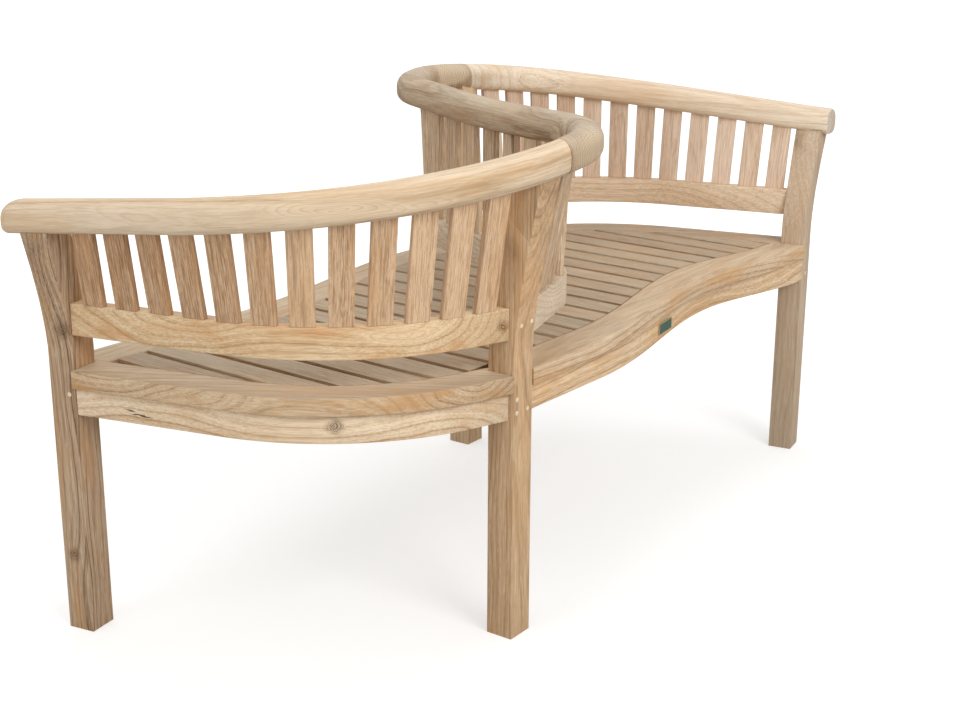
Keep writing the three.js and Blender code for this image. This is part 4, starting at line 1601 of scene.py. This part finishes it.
@dataclass
class Plate:
    """A small enamelled plate, left blank: a thin green face in a beige raised rim."""

    workshop: Workshop
    place_mm: Triple = (180.0, -276.4, 397.0)
    turn_degrees: float = 9.6
    length_mm: float = 60.0
    height_mm: float = 21.0
    thickness_mm: float = 1.6
    edge_mm: float = 0.3
    edge_steps: int = 2
    rim_mm: float = 1.3
    step_mm: float = 0.2
    sunk_mm: float = 0.4
    rim: EnamelFinish = EnamelFinish("enamel_rim_beige", "b7ab86", "9a8e6c")
    face: EnamelFinish = EnamelFinish("enamel_face_green", "2f5a45", "234637")

    def build(self) -> None:
        """Makes the plate with its rim and fits it on the right seat's front apron."""
        shape = bmesh.new()
        bmesh.ops.create_cube(shape, size=1.0)
        size = (self.length_mm * MM, self.thickness_mm * MM, self.height_mm * MM)
        bmesh.ops.scale(shape, vec=size, verts=shape.verts)
        ease(shape, list(shape.edges), self.edge_mm, self.edge_steps)
        front = min(shape.faces, key=lambda face: face.calc_center_median().y)
        for inset, sunk in ((self.rim_mm, 0.0), (self.step_mm, self.sunk_mm)):
            bmesh.ops.inset_region(shape, faces=[front], thickness=inset * MM, depth=-sunk * MM)
        front.material_index = 1
        turn = Matrix.Rotation(math.radians(self.turn_degrees), 4, "Z")
        place = Matrix.Translation(in_frame(*self.place_mm))
        bmesh.ops.transform(shape, matrix=place @ turn, verts=shape.verts)
        mesh = mesh_of(shape, "plate_blank")
        self.workshop.finish(mesh, self.rim)
        self.workshop.finish(mesh, self.face)
        self.workshop.place("plate_blank", mesh, "teak_apron")


@dataclass(frozen=True)
class Lamp:
    """A large round soft lamp: its place and size in metres, and its power in watts."""

    name: str
    place: Triple
    size: float
    power: float


@dataclass
class Studio:
    """A pale seamless studio with soft light from above and from the front.

    The floor glows a little to the camera alone, more so away from the bench, between two
    distances in metres. So the ground reads white and keeps the bench's shadow.
    """

    camera_place: Triple = (-2.24233, -1.67911, 1.203)
    pitch_degrees: float = 17.4433
    heading_degrees: float = -52.5
    roll_degrees: float = 0.2246
    lens_mm: float = 59.447
    sensor_mm: float = 36.0
    sight: Pair = (0.05, 60.0)
    lamps: tuple[Lamp, ...] = (
        Lamp("key", (-1.1, -3.4, 2.6), 2.2, 74.0),
        Lamp("top", (0.3, 0.4, 3.6), 2.4, 30.0),
        Lamp("left_fill", (-3.6, 0.6, 1.9), 2.4, 19.0),
    )
    lamp_aim: Triple = (0.0, 0.0, 0.45)
    floor_colour: str = "c9c8c6"
    floor_half: float = 14.0
    floor_glow: Pair = (0.54, 0.75)
    floor_glow_reach: Pair = (0.9, 3.0)
    white: str = "ffffff"
    world_strength: float = 0.66

    def build(self) -> None:
        """Sets up the camera, the lamps, the floor and the world."""
        self._camera()
        for lamp in self.lamps:
            self._lamp(lamp)
        self._floor()
        self._world()
        bpy.context.scene.view_settings.view_transform = "Standard"

    def _camera(self) -> None:
        """Puts up the camera of the picture."""
        data = bpy.data.cameras.new("camera")
        data.sensor_width = self.sensor_mm
        data.lens = self.lens_mm
        data.clip_start, data.clip_end = self.sight
        camera = bpy.data.objects.new("camera", data)
        turn = Matrix.Rotation(math.radians(self.heading_degrees), 4, "Z")
        tip = Matrix.Rotation(math.radians(90 - self.pitch_degrees), 4, "X")
        roll = Matrix.Rotation(math.radians(self.roll_degrees), 4, "Z")
        camera.matrix_world = Matrix.Translation(self.camera_place) @ turn @ tip @ roll
        bpy.context.scene.collection.objects.link(camera)
        bpy.context.scene.camera = camera

    def _lamp(self, lamp: Lamp) -> None:
        """Hangs one lamp that looks at the middle of the bench.

        Args:
            lamp: The lamp.
        """
        data = bpy.data.lights.new(lamp.name, "AREA")
        data.shape, data.size, data.energy = "DISK", lamp.size, lamp.power
        light = bpy.data.objects.new(lamp.name, data)
        turn = (Vector(self.lamp_aim) - Vector(lamp.place)).to_track_quat("-Z", "Y")
        light.matrix_world = Matrix.Translation(lamp.place) @ turn.to_matrix().to_4x4()
        bpy.context.scene.collection.objects.link(light)

    def _floor(self) -> None:
        """Lays a wide pale floor that keeps the bench's shadow and shows white to the camera."""
        shape = bmesh.new()
        bmesh.ops.create_grid(shape, x_segments=1, y_segments=1, size=self.floor_half)
        mesh = mesh_of(shape, "floor")
        material = bpy.data.materials.new("studio_floor")
        tree = empty_tree(material)
        matt = add_node(tree, "BsdfDiffuse", Color=linear(self.floor_colour))
        place = add_node(tree, "TexCoord", out="Object")
        away = add_node(tree, "VectorMath", place, operation="LENGTH", out="Value")
        amount = add_node(
            tree, "MapRange", away, *self.floor_glow_reach, *self.floor_glow,
            interpolation_type="SMOOTHSTEP",
        )
        seen = add_node(tree, "LightPath", out="Is Camera Ray")
        strength = add_node(tree, "Math", seen, amount, operation="MULTIPLY")
        glow = add_node(tree, "Emission", Color=linear(self.white), Strength=strength)
        add_node(tree, "OutputMaterial", add_node(tree, "AddShader", matt, glow))
        mesh.materials.append(material)
        floor = bpy.data.objects.new("floor", mesh)
        bpy.context.scene.collection.objects.link(floor)

    def _world(self) -> None:
        """Makes the world white to the camera and to gloss, and a soft even light for the bench."""
        world = bpy.data.worlds.new("studio")
        tree = empty_tree(world)
        seen = add_node(tree, "LightPath", out="Is Camera Ray")
        for ray in ("Is Glossy Ray", "Is Transmission Ray"):
            also = add_node(tree, "LightPath", out=ray)
            seen = add_node(tree, "Math", seen, also, operation="MAXIMUM")
        strength = weighted(tree, self.world_strength, (seen, 1 - self.world_strength))
        light = add_node(tree, "Background", Color=linear(self.white), Strength=strength)
        add_node(tree, "OutputWorld", light)
        bpy.context.scene.world = world


def main() -> None:
    """Builds the bench's looks in order."""
    logging.basicConfig(level=logging.INFO, format="%(message)s")
    workshop = Workshop()
    sawyer = Sawyer()
    joinery = Joinery(workshop, sawyer)
    Studio().build()
    Carcass(joinery).build()
    Slats(joinery).build()
    Seat(joinery).build()
    TopRail(workshop).build()
    Pegs(workshop, sawyer).build()
    Plate(workshop).build()


if __name__ == "__main__":
    main()
